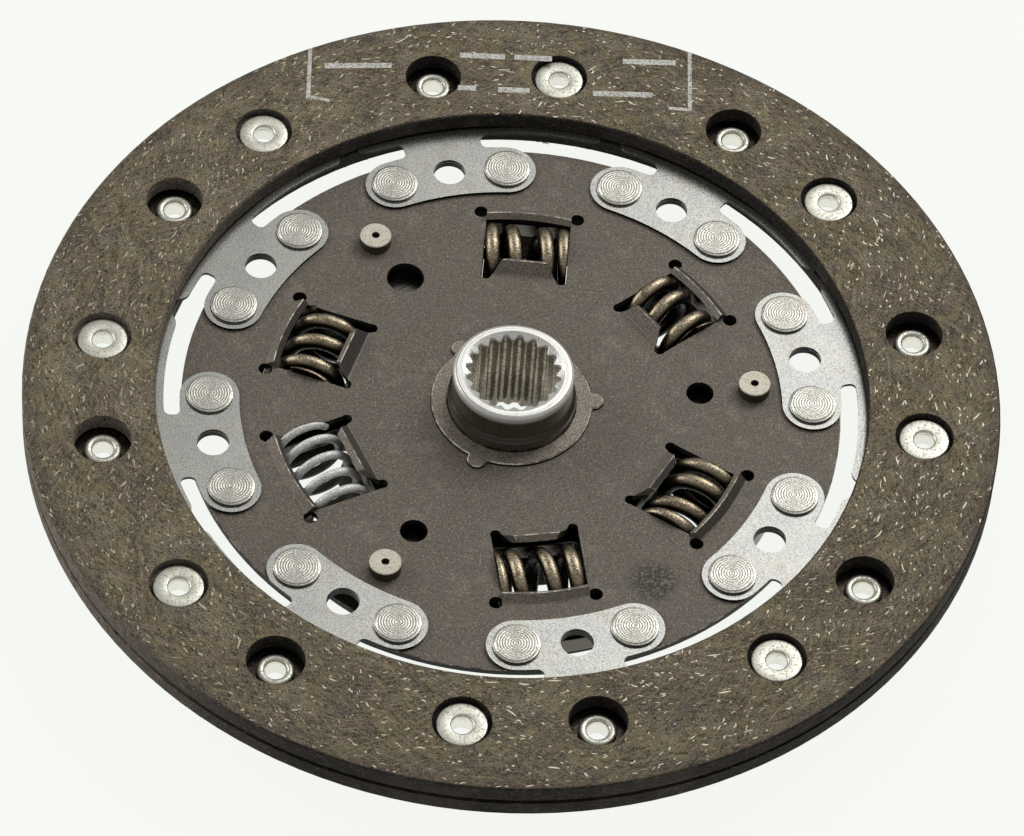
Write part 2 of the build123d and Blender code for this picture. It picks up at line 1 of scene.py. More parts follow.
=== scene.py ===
import logging
import math
from dataclasses import dataclass, field
from enum import Enum
from typing import Any, Callable, ClassVar, Sequence

import bmesh
import bpy
from mathutils import Matrix, Vector


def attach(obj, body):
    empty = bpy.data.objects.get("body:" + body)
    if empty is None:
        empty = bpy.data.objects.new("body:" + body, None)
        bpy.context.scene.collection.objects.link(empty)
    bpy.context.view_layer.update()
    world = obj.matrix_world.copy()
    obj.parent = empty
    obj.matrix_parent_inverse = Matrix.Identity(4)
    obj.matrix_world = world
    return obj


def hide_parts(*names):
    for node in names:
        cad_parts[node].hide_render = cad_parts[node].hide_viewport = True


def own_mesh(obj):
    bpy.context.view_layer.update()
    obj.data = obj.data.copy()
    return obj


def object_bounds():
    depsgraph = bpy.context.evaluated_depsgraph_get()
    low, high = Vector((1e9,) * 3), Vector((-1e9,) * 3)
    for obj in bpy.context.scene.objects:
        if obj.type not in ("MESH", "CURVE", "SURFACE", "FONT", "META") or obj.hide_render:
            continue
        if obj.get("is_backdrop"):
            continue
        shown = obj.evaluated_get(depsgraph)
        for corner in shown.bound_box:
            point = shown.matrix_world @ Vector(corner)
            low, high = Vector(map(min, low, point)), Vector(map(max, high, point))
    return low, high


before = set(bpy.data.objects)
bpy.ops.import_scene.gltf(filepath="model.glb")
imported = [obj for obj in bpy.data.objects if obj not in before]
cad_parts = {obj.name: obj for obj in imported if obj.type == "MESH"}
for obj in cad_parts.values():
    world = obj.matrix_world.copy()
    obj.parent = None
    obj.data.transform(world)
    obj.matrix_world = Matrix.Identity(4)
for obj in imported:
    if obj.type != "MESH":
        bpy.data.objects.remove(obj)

# Looks of a clutch disc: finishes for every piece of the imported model, finer meshes for its springs
# and rivets, rounded edges on its plates, hub and bush, fibres in its friction lining, and a studio.
# Metres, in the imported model's frame: origin on the hub axis at the mid-plane between the facings,
# +Z towards the front friction face, angles in degrees from +X, anticlockwise seen from +Z.

LOG = logging.getLogger("clutch_disc")
MM = 0.001
CAD_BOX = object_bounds()
SAME_PLACE = 0.001 * MM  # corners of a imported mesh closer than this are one
FLAT_ANGLE = math.radians(0.5)  # faces that meet at less are one flat face
SHARP_ANGLE = math.radians(35.0)  # edges whose faces meet at more can be rounded
MATH = "ShaderNodeMath"

Socket = bpy.types.NodeSocket
Colour = tuple[float, float, float, float]


# ---------------------------------------------------------------- colour, nodes and places
def linear(hex_code: str) -> Colour:
    """Turn an sRGB hex code into the linear colour that shaders take.

    Args:
        hex_code: Six hex digits, red green blue.

    Returns:
        Linear red, green, blue and an alpha of one.
    """
    channels = [int(hex_code[i : i + 2], 16) / 255 for i in (0, 2, 4)]
    values = [c / 12.92 if c <= 0.04045 else ((c + 0.055) / 1.055) ** 2.4 for c in channels]
    return (values[0], values[1], values[2], 1.0)


def at(radius: float, angle: float, height: float = 0.0) -> Matrix:
    """Place at a radius and an angle about the hub axis, turned so that local +X points outwards.

    Args:
        radius: Distance from the axis in metres.
        angle: Degrees from +X.
        height: Level along Z in metres.

    Returns:
        The placement as a matrix.
    """
    turn = Matrix.Rotation(math.radians(angle), 4, "Z")
    return turn @ Matrix.Translation((radius, 0.0, height))


# ---------------------------------------------------------------- sizes shared by the sub-assemblies
@dataclass(frozen=True)
class Layout:
    """Sizes of the disc that several sub-assemblies share, in metres and degrees."""

    front_face: float = 3.9 * MM
    facing_outer: float = 90.0 * MM
    facing_inner: float = 65.7 * MM
    edge_break: float = 0.3 * MM
    rivet_circle: float = 76.2 * MM
    hole_radius: float = 5.4 * MM
    first_tab_angle: float = 15.7
    tab_count: int = 8
    front_rivet_shift: float = -18.9
    rear_rivet_shift: float = -0.7
    tab_circle: float = 55.65 * MM
    tab_half_angle: float = 11.27
    spring_circle: float = 38.07 * MM
    spring_level: float = -6.6 * MM


LAYOUT = Layout()


class Side(Enum):
    """Which way a facing or a rivet looks: up towards the pressure plate, or down towards the flywheel."""

    FRONT = 1
    REAR = -1


# ---------------------------------------------------------------- node trees and finishes
class Graph:
    """A node tree that is being filled."""

    def __init__(self, tree: bpy.types.NodeTree) -> None:
        """Start with the tree cleared of the nodes that Blender gives it."""
        self.tree = tree
        tree.nodes.clear()

    def add(
        self, kind: str, inputs: dict[int | str, Any] | tuple[Any, ...] = (), output: int | str = 0, **settings: Any
    ) -> Socket | None:
        """Add a node, set its options, and fill or link its inputs.

        Args:
            kind: The node's type name.
            inputs: Values in order, or by socket name or number; a socket or a list of sockets makes links.
            output: Name or number of the output that is wanted.
            settings: Properties of the node itself.

        Returns:
            The wanted output, or None on a node that has none.
        """
        node = self.tree.nodes.new(kind)
        for name, value in settings.items():
            setattr(node, name, value)
        for key, value in inputs.items() if isinstance(inputs, dict) else enumerate(inputs):
            sources = value if isinstance(value, list) else [value]
            if isinstance(sources[0], bpy.types.NodeSocket):
                for source in sources:
                    self.tree.links.new(source, node.inputs[key])
            else:
                node.inputs[key].default_value = value
        return node.outputs[output] if len(node.outputs) else None


class Finish(Graph):
    """A procedural material: one node tree round one Principled shader."""

    name: ClassVar[str] = "finish"
    waves: ClassVar[float] = 9.0  # sways of an arc in a full turn
    lane_radius: ClassVar[float] = 77 * MM  # where an arc's patches have their stated length

    def __init__(self) -> None:
        """Start the material with its shader and its object coordinates, then paint it."""
        self.material = bpy.data.materials.new(self.name)
        self.material.use_nodes = True
        super().__init__(self.material.node_tree)
        self.shader = self.tree.nodes.new("ShaderNodeBsdfPrincipled")
        self.add("ShaderNodeOutputMaterial", {"Surface": self.shader.outputs[0]})
        self.place = self.add("ShaderNodeTexCoord", output="Object")
        self.paint()

    def paint(self) -> None:
        """Fill the tree. Each finish has its own."""

    def surface(
        self, height: Socket | None = None, depth: float = 0.0, normal: Socket | None = None, **values: Any
    ) -> None:
        """Set the shader's inputs.

        Args:
            height: Relief from 0 to 1, or None for a smooth surface.
            depth: Real height of a relief of 1, in metres.
            normal: Normal that the relief stands on, or None for the mesh's own.
            values: Constants or sockets by the input's name, with underscores for spaces.
        """
        if height is not None:
            relief = {"Height": height, "Distance": depth, **({"Normal": normal} if normal else {})}
            values["Normal"] = self.add("ShaderNodeBump", relief)
        for key, value in values.items():
            socket = self.shader.inputs[key.replace("_", " ")]
            if isinstance(value, bpy.types.NodeSocket):
                self.tree.links.new(value, socket)
            else:
                socket.default_value = value

    def patches(
        self, size: float, low: float, high: float, most: float = 1.0, where: Socket | None = None, detail: float = 3.0
    ) -> Socket:
        """Share of soft-edged patches: 0 below one level of noise, the most above another.

        Args:
            size: Size of a patch in metres.
            low: Noise level where a patch begins; above high, the patches are the noise's valleys.
            high: Noise level where it is full.
            most: The share in a full patch.
            where: Coordinates in metres, or None for the object's own.
            detail: Octaves of finer noise.

        Returns:
            The share as a socket.
        """
        inputs = {"Vector": where or self.place, "Scale": 1.0 / size, "Detail": detail, "Roughness": 0.6}
        noise = self.add("ShaderNodeTexNoise", inputs)
        ends = (most, 0.0) if low > high else (0.0, most)
        return self.band(noise, min(low, high), max(low, high), *ends)

    def band(self, value: Socket, start: float, end: float, low: float = 0.0, high: float = 1.0) -> Socket:
        """Share that goes smoothly from low, where the value is start, to high, where it is end."""
        span = {0: value, 1: start, 2: end, 3: low, 4: high}
        return self.add("ShaderNodeMapRange", span, interpolation_type="SMOOTHSTEP")

    def both(self, first: Socket, second: Socket) -> Socket:
        """Share of a place where two shares meet."""
        return self.add(MATH, (first, second), operation="MULTIPLY")

    def part(self, axis: str, of: str = "Object") -> Socket:
        """One axis of the place in metres, or of the mesh's own normal where of is Normal."""
        return self.add("ShaderNodeSeparateXYZ", {0: self.add("ShaderNodeTexCoord", output=of)}, axis)

    def slant(self, steep: float, flat: float) -> Socket:
        """Share of slanting faces: 1 where the normal's upright part is below steep, 0 above flat."""
        return self.band(self.add(MATH, (self.part("Z", "Normal"),), operation="ABSOLUTE"), flat, steep)

    def coats(self, ground: str | Socket, *layers: tuple[Socket, str | Socket]) -> Socket:
        """Lay colours over a ground in order.

        Args:
            ground: Hex code or socket of the ground colour.
            layers: Share, and hex code or socket, of each colour over it.

        Returns:
            The colour as a socket.
        """
        colour = ground
        for share, over in layers:
            pair = [linear(one) if isinstance(one, str) else one for one in (colour, over)]
            colour = self.add("ShaderNodeMix", {0: share, 6: pair[0], 7: pair[1]}, 2, data_type="RGBA")
        return colour

    def polar(self) -> tuple[Socket, Socket, Socket]:
        """Place of a point of the surface about the hub axis.

        Returns:
            Radius in metres, angle in radians and level in metres.
        """
        parts = self.add("ShaderNodeSeparateXYZ", {0: self.place}).node.outputs
        angle = self.add(MATH, (parts[1], parts[0]), operation="ARCTAN2")
        flat = self.add("ShaderNodeVectorMath", {0: self.place, 1: (1.0, 1.0, 0.0)}, operation="MULTIPLY")
        radius = self.add("ShaderNodeVectorMath", {0: flat}, "Value", operation="LENGTH")
        return radius, angle, parts[2]

    def around(self, stretch: float, sway: float = 0.0) -> Socket:
        """Coordinates that run with the circles about the hub axis, so that patches become arcs.

        Args:
            stretch: How many times longer than wide a patch becomes.
            sway: How far the arcs wander inwards and outwards, in metres.

        Returns:
            The coordinates as a vector socket.
        """
        radius, angle, level = self.polar()
        wave = self.add(MATH, (self.add(MATH, (angle, self.waves), operation="MULTIPLY"),), operation="SINE")
        lane = self.add(MATH, (wave, sway, radius), operation="MULTIPLY_ADD")
        along = self.add(MATH, (angle, self.lane_radius / stretch), operation="MULTIPLY")
        return self.add("ShaderNodeCombineXYZ", {0: lane, 1: along, 2: level})


class FrictionLining(Finish):
    """Wound yarn in resin, moulded and ground: matt olive brown with streaks, and black unground edges whose near black
    is partly painted shade.
    """

    name = "moulded_friction_lining"

    def paint(self) -> None:
        """Purple-grey resin clouds, streaks of yarn 0.5 to 2 mm wide, pores and dust; the rim painted lighter towards
        -X, a painted light from the left, with more dust specks there.
        """
        radius, _, level = self.polar()
        across = self.part("X")
        lanes = self.around(5.0, 5 * MM)
        short = self.around(2.2, -3 * MM)
        pore = self.patches(0.5 * MM, 0.47, 0.34, 0.85, short)
        grit = self.patches(0.35 * MM, 0.50, 0.64, 0.6)
        dust = self.both(self.patches(7 * MM, 0.48, 0.62, 0.75), self.patches(0.28 * MM, 0.52, 0.62))
        face = self.coats(
            "6B614B",
            (self.patches(11 * MM, 0.44, 0.62, 0.75), "5C5248"),
            (self.patches(3.0 * MM, 0.50, 0.62, 0.75), "514849"),
            (self.patches(2.0 * MM, 0.52, 0.66, 0.60, lanes), "4B4034"),
            (self.patches(0.9 * MM, 0.50, 0.36, 0.75, lanes), "3A3226"),
            (self.patches(0.8 * MM, 0.55, 0.68, 0.65, lanes), "8C7F60"),
            (self.patches(0.5 * MM, 0.54, 0.64, 0.60, self.around(9.0, -8 * MM)), "8A7D62"),
            (pore, "2A241D"),
            (grit, "978B6F"),
            (self.patches(0.30 * MM, 0.58, 0.70, 0.65), "B9AE93"),
            (dust, "ABA28C"),
            (self.band(radius, 86 * MM, 90 * MM, 0.0, 0.35), "433B3A"),
        )
        # Painted light: the rim grows lighter towards -X as if lit from the left, and its dust specks show most there.
        left_lit_dust = self.band(across, -30 * MM, -75 * MM, 0.25, 1.0)
        # The unground edges are near black: the resin's dark colour, deepened as painted shade on the recess walls and
        # rims.
        edge = self.coats(
            "221E1B",
            (self.patches(16 * MM, 0.50, 0.60, 0.8), "3B352F"),
            (self.band(across, -35 * MM, -80 * MM, 0.0, 0.85), "8A8073"),
            (self.both(left_lit_dust, self.patches(0.6 * MM, 0.46, 0.62, 0.8, lanes)), "5E554C"),
            (self.both(left_lit_dust, self.patches(0.5 * MM, 0.46, 0.34, 0.9, lanes)), "1C1815"),
            (self.both(left_lit_dust, self.patches(0.35 * MM, 0.56, 0.70, 0.8, lanes)), "B5AA9A"),
        )
        height = self.add(MATH, (level,), operation="ABSOLUTE")
        ground = self.band(height, LAYOUT.front_face - 0.22 * MM, LAYOUT.front_face - 0.05 * MM)
        colour = self.coats(edge, (ground, face))
        rough = self.add(MATH, (grit, -0.2, 0.85), operation="MULTIPLY_ADD")
        relief = self.add(MATH, (pore, -1.0, grit), operation="MULTIPLY_ADD")
        self.surface(relief, 0.05 * MM, Base_Color=colour, Roughness=rough, Specular_IOR_Level=0.3)


class LiningFibre(Finish):
    """Chopped brass and glass fibre laid bare by grinding: straw to cream, with a slight shine."""

    name = "ground_lining_fibre"

    def paint(self) -> None:
        """Each fibre has its own tone, paler towards +X as a painted sheen of the light from that side; a few are
        coppery.
        """
        tone = self.add("ShaderNodeAttribute", output="Fac", attribute_name="tone")
        painted_sheen = self.both(self.band(tone, 0.1, 0.8), self.band(self.part("X"), -85 * MM, 25 * MM, 0.40, 1.0))
        colour = self.coats("8E8064", (painted_sheen, "EFE6CC"), (self.band(tone, 0.97, 0.99), "A38A6B"))
        self.surface(Base_Color=colour, Metallic=0.15, Roughness=0.5)


class MarkingInk(Finish):
    """White stamping ink on a ground lining: chalky, broken up by the lining's grain."""

    name = "stamped_marking_ink"

    def paint(self) -> None:
        """Worn through to the lining in specks about 0.4 mm wide."""
        wear_and_painted_light = self.patches(0.4 * MM, 0.50, 0.62, 0.8)
        thin = self.patches(2.5 * MM, 0.45, 0.65, 0.45)
        self.surface(Base_Color=self.coats("D2D1CA", (thin, "A19E95"), (wear_and_painted_light, "6C6355")), Roughness=0.9)


class SpringSteelStrip(Finish):
    """Cold-rolled hardened strip: smooth grey steel, tempered straw, with painted shade: near black on the sheared
    edges, dark brown on the parts under the facings.
    """

    name = "cold_rolled_spring_steel"

    def paint(self) -> None:
        """Scuffs, straw stains and specks on the tabs; painted shade near black on the sheared edges, and a dark brown
        film of painted shade on the paddles under the facings.
        """
        # The rolled grain is about 0.02 mm wide; it is drawn as coarse as it needs to show.
        grain = self.patches(0.3 * MM, 0.40, 0.66, 0.8)
        tab = self.coats(
            "B3B3AC",
            (self.patches(6 * MM, 0.42, 0.62, 0.7), "A0A5A8"),
            (self.patches(4.5 * MM, 0.52, 0.70, 0.6), "A1937D"),
            (grain, "A09F98"),
            (self.patches(0.3 * MM, 0.60, 0.50, 0.35), "C6C6BE"),
            (self.patches(0.5 * MM, 0.60, 0.70, 0.6), "83796A"),
            (self.patches(0.35 * MM, 0.36, 0.26, 0.8), "5B534B"),
            # Painted shade: steep faces, the sheared edges, near black.
            (self.slant(0.35, 0.6), "25211D"),
        )
        # Painted shade: the paddles under the facings, from 65.2 mm out, dark brown with paler patches.
        painted_shade_film = self.coats("3A332C", (self.patches(1.2 * MM, 0.5, 0.7, 0.6), "6B6258"))
        under_facings_shade = self.band(self.polar()[0], 65.2 * MM, 65.9 * MM)
        colour = self.coats(tab, (under_facings_shade, painted_shade_film))
        rough = self.add(MATH, (grain, 0.1, 0.24), operation="MULTIPLY_ADD")
        self.surface(grain, 0.004 * MM, self.levelled(), Base_Color=colour, Metallic=0.95, Roughness=rough)

    def levelled(self) -> Socket:
        """Make the normal upright on nearly level faces: the fold beside a tab is too soft to catch the light.

        Returns:
            The normal as a socket.
        """
        normal = self.add("ShaderNodeNewGeometry", output="Normal")
        upright = self.add("ShaderNodeSeparateXYZ", {0: normal}, "Z")
        whole = self.add(MATH, (upright,), operation="ROUND")
        straight = self.add("ShaderNodeCombineXYZ", {2: whole})
        mixed = {0: self.add(MATH, (whole,), operation="ABSOLUTE"), 4: normal, 5: straight}
        return self.add("ShaderNodeMix", mixed, 1, data_type="VECTOR")


class SpunRivetSteel(Finish):
    """Soft rivet steel closed by a spinning tool: pale satin rings, grey in the hollows."""

    name = "spun_rivet_steel"

    def paint(self) -> None:
        """Pale worn steel with grey and rust-brown specks, and painted shade on the side wall near the foot of each
        head.
        """
        # The grain is about 0.03 mm wide; it is drawn as coarse as it needs to show.
        grain = self.patches(0.3 * MM, 0.40, 0.66)
        colour = self.coats(
            "D2D1C8",
            (self.patches(1.5 * MM, 0.48, 0.68, 0.5), "BDB9AB"),
            (grain, "A9A598"),
            (self.patches(0.4 * MM, 0.60, 0.72, 0.7), "82776A"),
            # Painted shade: steep faces below the head's rim, near its foot, near black.
            (self.both(self.slant(0.3, 0.6), self.band(self.part("Z"), 0.02 * MM, -0.12 * MM)), "2B2621"),
        )
        rough = self.add(MATH, (grain, 0.12, 0.24), operation="MULTIPLY_ADD")
        self.surface(grain, 0.01 * MM, Base_Color=colour, Metallic=0.9, Roughness=rough)


class ZincPlate(Finish):
    """Thin yellow-passivated zinc on the tubular rivets: pale cream, speckled, softly shiny; smooth in the bore."""

    name = "passivated_zinc_plate"

    def paint(self) -> None:
        """Cream with olive specks and thin spots."""
        # The plating is grained about 0.02 mm; it is drawn as coarse as it needs to show.
        speck = self.patches(0.4 * MM, 0.52, 0.66)
        colour = self.coats(
            "DDDCCF",
            (self.patches(1.6 * MM, 0.48, 0.68, 0.6), "CCCAB8"),
            (speck, "ADA893"),
            (self.patches(0.3 * MM, 0.36, 0.26, 0.9), "77715A"),
        )
        wall = self.slant(0.3, 0.6)
        metal = self.add(MATH, (wall, 0.1, 0.85), operation="MULTIPLY_ADD")
        satin = self.add(MATH, (speck, 0.15, 0.36), operation="MULTIPLY_ADD")
        rough = self.add(MATH, (wall, -0.24, satin), operation="MULTIPLY_ADD")
        colour = self.coats(colour, (wall, "F2F1E8"))
        self.surface(speck, 0.012 * MM, Base_Color=colour, Metallic=metal, Roughness=rough)


class PhosphatedSteel(Finish):
    """Manganese-phosphated pressing: a dull brown-grey crystal coat with rubbed specks and scratches."""

    name = "phosphated_steel_pressing"
    smudge: ClassVar[tuple[float, float, float]] = (28.1 * MM, -38.5 * MM, -1.1 * MM)

    def paint(self) -> None:
        """Brown clouds, dark crystals, pale specks, fine scratches and a smudge of ink; painted light and shade on the
        lips' folds, and painted shade on the cut edges.
        """
        # A crystal is about 0.03 mm wide; it is drawn as coarse as it needs to show.
        crystal = self.patches(0.35 * MM, 0.42, 0.60, 0.75)
        turned = {"Vector": self.place, "Rotation": (0.0, 0.0, 0.9), "Scale": (1.0, 0.07, 1.0)}
        brushed = self.add("ShaderNodeMapping", turned)
        away = self.add("ShaderNodeVectorMath", {0: self.place, 1: self.smudge}, "Value", operation="DISTANCE")
        smudge = self.both(self.band(away, 6.0 * MM, 2.5 * MM), self.patches(0.6 * MM, 0.44, 0.53, 0.9, detail=1.0))
        # The lips' folds are painted pale where they look left, a painted light from the left broken by specks, and
        # painted dark where they look right, a painted shade.
        sideways = self.part("X", "Normal")
        fold = self.slant(0.85, 0.97)
        wear_and_painted_light = self.both(self.both(fold, self.band(sideways, 0.4, 0.1)), self.patches(0.26 * MM, 0.56, 0.44, 0.6))
        kept = self.both(fold, self.band(sideways, 0.3, 0.5, 0.0, 0.75))
        # Painted shade: steep faces below the front plate's top, the cut edges and walls of the plates, near black.
        shaded_cut_edge = self.both(self.slant(0.3, 0.5), self.band(self.part("Z"), -1.05 * MM, -1.25 * MM))
        colour = self.coats(
            "6D655A",
            (self.patches(14 * MM, 0.42, 0.62, 0.7), "71665A"),
            (self.patches(5 * MM, 0.50, 0.66, 0.6), "5F5A57"),
            (crystal, "48423B"),
            (self.both(self.patches(5 * MM, 0.56, 0.66), self.patches(0.35 * MM, 0.50, 0.60, 0.7)), "9C9079"),
            (self.patches(0.3 * MM, 0.54, 0.64, 0.65), "8C8374"),
            (self.patches(0.3 * MM, 0.64, 0.72, 0.8), "B0A691"),
            (self.patches(0.8 * MM, 0.66, 0.72, 0.6), "8C7C60"),
            (self.patches(0.4 * MM, 0.66, 0.74, 0.35, brushed), "A79D8E"),
            (wear_and_painted_light, "A1968A"),
            (kept, "2E2C2A"),
            (shaded_cut_edge, "1D1A17"),
            (smudge, "332E2A"),
        )
        self.surface(crystal, 0.015 * MM, Base_Color=colour, Metallic=0.35, Roughness=0.55)


class RubbedEdgeHighlight(Finish):
    """The same pressing on its rounded corners: bare, bright steel lines where handling rubbed the coat off, painted
    pale also as the highlight the corners catch.
    """

    name = "rubbed_steel_edge"

    def paint(self) -> None:
        """Bright where rubbed, which is also a painted highlight, coated between, and broken up by the coat's crystals.
        """
        rubbed_highlight = self.patches(2.5 * MM, 0.42, 0.58)
        bared_highlight = self.both(rubbed_highlight, self.patches(0.35 * MM, 0.40, 0.56))
        colour = self.coats("6E665B", (rubbed_highlight, "9C9387"), (bared_highlight, "E2DBCE"))
        self.surface(Base_Color=colour, Metallic=0.1, Roughness=0.5)


class OilTemperedWire(Finish):
    """Oil-tempered, shot-peened wire: a brown-black oxide, with a bronze highlight painted on where it faces up."""

    name = "oil_tempered_wire"

    def paint(self) -> None:
        """Peened grain, a painted bronze highlight on the upward faces, and painted shade near black lower down in the
        windows.
        """
        # A dimple of the shot is about 0.2 mm wide; it is drawn as coarse as it needs to show.
        grain = self.patches(0.4 * MM, 0.40, 0.62)
        upward = self.part("Z", "Normal")
        # Painted highlight: bronze on the upward faces and pale grain at their tops; painted shade: near black from 3
        # to 7 mm below the facings' mid-plane.
        colour = self.coats(
            "1F1A14",
            (self.band(upward, 0.30, 0.95), "95866D"),
            (self.both(grain, self.band(upward, 0.5, 1.0, 0.0, 0.9)), "C2B69E"),
            (self.patches(2.5 * MM, 0.50, 0.66, 0.5), "3B3225"),
            (self.band(self.part("Z"), -3.0 * MM, -7.0 * MM, 0.0, 0.9), "12100D"),
        )
        rough = self.add(MATH, (grain, 0.12, 0.26), operation="MULTIPLY_ADD")
        self.surface(grain, 0.02 * MM, Base_Color=colour, Metallic=0.9, Roughness=rough)


class PhosphateDrawnWire(Finish):
    """Phosphate-drawn light spring wire: an even, chalky pale grey."""

    name = "phosphate_drawn_wire"

    def paint(self) -> None:
        """Pale grey, with painted shade in brown-grey lower down in the window."""
        # A crystal is about 0.03 mm wide; it is drawn as coarse as it needs to show.
        grain = self.patches(0.35 * MM, 0.40, 0.62)
        # Painted shade: brown-grey lower down, from 4 to 9 mm below the facings' mid-plane.
        depth = self.band(self.part("Z"), -4 * MM, -9 * MM, 0.0, 0.9)
        colour = self.coats("EDECE8", (grain, "BDBCB7"), (depth, "453E36"))
        self.surface(grain, 0.01 * MM, Base_Color=colour, Metallic=0.3, Roughness=0.5)


class MachinedSteel(Finish):
    """Turned and broached hub steel: a bright rim, tool lines round the axis, oily brown in the splines."""

    name = "turned_hub_steel"

    def paint(self) -> None:
        """Bright rim and mouth and brown splines; painted shade on the body and flange below the rim, on the ledge, and
        more of it below the plates.
        """
        radius, _, level = self.polar()
        tool = self.patches(0.25 * MM, 0.35, 0.65, 1.0, self.around(600.0))
        bright = self.coats("D9D8D2", (self.patches(2 * MM, 0.50, 0.68, 0.4), "BEBBB2"))
        broached = self.coats("A39A8C", (self.patches(0.6 * MM, 0.48, 0.62, 0.7), "5C554B"))
        bore = self.band(radius, 10.1 * MM, 9.6 * MM)
        mouth = self.band(level, 7.0 * MM, 7.9 * MM)
        inside = self.add(MATH, (bore, mouth), operation="SUBTRACT", use_clamp=True)
        body = self.band(level, 7.0 * MM, 6.2 * MM, 0.0, 0.85)
        shaded_outside = self.add(MATH, (body, bore), operation="SUBTRACT", use_clamp=True)
        upper = self.band(level, 6.0 * MM, 5.0 * MM)
        shaded_ledge = self.both(self.slant(0.6, 0.4), self.both(upper, self.band(level, -3.0 * MM, -1.5 * MM)))
        # Painted shade: the outside below the rim dark grey-brown, the shade and reflection of the dark plate around
        # it; the ledge darker, and the lower levels darker again.
        colour = self.coats(
            bright,
            (inside, broached),
            (shaded_outside, "59534B"),
            (self.band(level, -2 * MM, -5 * MM, 0.0, 0.5), "4A453E"),
            (shaded_ledge, "4A443D"),
        )
        rough = self.add(MATH, (tool, 0.14, 0.2), operation="MULTIPLY_ADD")
        # The chamfer is made matt, so that its pale colour stays all the way round as a painted reflection of the
        # bright surround instead of mirroring the room.
        chamfer = self.both(self.slant(0.85, 0.97), self.band(level, 6.6 * MM, 7.2 * MM))
        metal = self.add(MATH, (chamfer, -0.75, 1.0), operation="MULTIPLY_ADD")
        self.surface(tool, 0.006 * MM, Base_Color=colour, Metallic=metal, Roughness=rough)


class PlatedPin(Finish):
    """Copper-washed pin steel: pale tan and satin."""

    name = "copper_washed_pin"

    def paint(self) -> None:
        """Tan, rubbed pale in places, with painted shade in brown down its side."""
        colour = self.coats(
            "CAC5B3",
            (self.patches(1 * MM, 0.45, 0.65, 0.5), "D8D4C3"),
            (self.patches(0.3 * MM, 0.54, 0.66), "948877"),
            # Painted shade: the pin's steep sides, dark brown.
            (self.slant(0.3, 0.6), "4B4035"),
        )
        self.surface(Base_Color=colour, Metallic=0.5, Roughness=0.5)


class SinteredSteel(Finish):
    """Pressed and sintered bush: grey-brown, open-grained and satin."""

    name = "sintered_steel_bush"

    def paint(self) -> None:
        """Pale grain, soft stains and painted shade on the side walls."""
        # A grain of the powder is about 0.1 mm wide; it is drawn as coarse as it needs to show.
        grain = self.patches(0.3 * MM, 0.40, 0.62)
        colour = self.coats(
            "716A5F",
            (self.patches(4 * MM, 0.44, 0.62, 0.6), "5C554C"),
            (grain, "9B9183"),
            # Painted shade: steep side walls, dark grey-brown.
            (self.slant(0.3, 0.6), "332E29"),
        )
        self.surface(grain, 0.01 * MM, Base_Color=colour, Metallic=0.6, Roughness=0.42)


class FrictionFelt(Finish):
    """Resin-bound washer behind the flange: dark and matt."""

    name = "resin_bound_washer"

    def paint(self) -> None:
        """Dark brown with fine grain."""
        # A fibre is about 0.02 mm wide; it is drawn as coarse as it needs to show.
        self.surface(Base_Color=self.coats("2E2923", (self.patches(0.4 * MM, 0.4, 0.65), "453D33")), Roughness=0.8)


# ---------------------------------------------------------------- meshes
def piece(name: str, mesh: bpy.types.Mesh, body: str, slot: str, stands_for: Sequence[str] = ()) -> bpy.types.Object:
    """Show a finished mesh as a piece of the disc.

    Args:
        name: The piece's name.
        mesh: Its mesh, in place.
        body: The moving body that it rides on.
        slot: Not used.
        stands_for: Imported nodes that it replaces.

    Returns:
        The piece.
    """
    shown = bpy.data.objects.new(name, mesh)
    bpy.context.scene.collection.objects.link(shown)
    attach(shown, body)
    if stands_for:
        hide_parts(*stands_for)
    return shown


def dress(node: str, finish: Finish) -> None:
    """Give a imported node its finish.

    Args:
        node: The node's name.
        finish: The finish that it gets.
    """
    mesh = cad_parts[node].data
    mesh.materials.clear()
    mesh.materials.append(finish.material)


def settled(shell: bmesh.types.BMesh, name: str, finishes: Sequence[Finish] = ()) -> bpy.types.Mesh:
    """Turn a finished shell into a mesh, and free the shell.

    Args:
        shell: The faces.
        name: The mesh's name.
        finishes: The mesh's finishes in the order of its faces' material numbers.

    Returns:
        The mesh.
    """
    mesh = bpy.data.meshes.new(name)
    for finish in finishes:
        mesh.materials.append(finish.material)
    shell.to_mesh(mesh)
    shell.free()
    return mesh


def baked(name: str, mesh: bpy.types.Mesh, *modifiers: tuple[str, dict[str, Any]]) -> bpy.types.Mesh:
    """Put modifiers on a mesh and take the plain mesh that results.

    Args:
        name: Name of the new mesh.
        mesh: The mesh to start from.
        modifiers: Kind of each modifier and its settings, a Geometry Nodes tree's inputs among them.

    Returns:
        The plain mesh.
    """
    work = bpy.data.objects.new("work", mesh)
    bpy.context.scene.collection.objects.link(work)
    for kind, settings in modifiers:
        modifier = work.modifiers.new(kind, kind)
        for key, value in settings.items():
            if hasattr(modifier, key):
                setattr(modifier, key, value)
            else:
                modifier[key] = value
    evaluated = work.evaluated_get(bpy.context.evaluated_depsgraph_get())
    made = bpy.data.meshes.new_from_object(evaluated)
    made.name = name
    bpy.data.objects.remove(work)
    return made


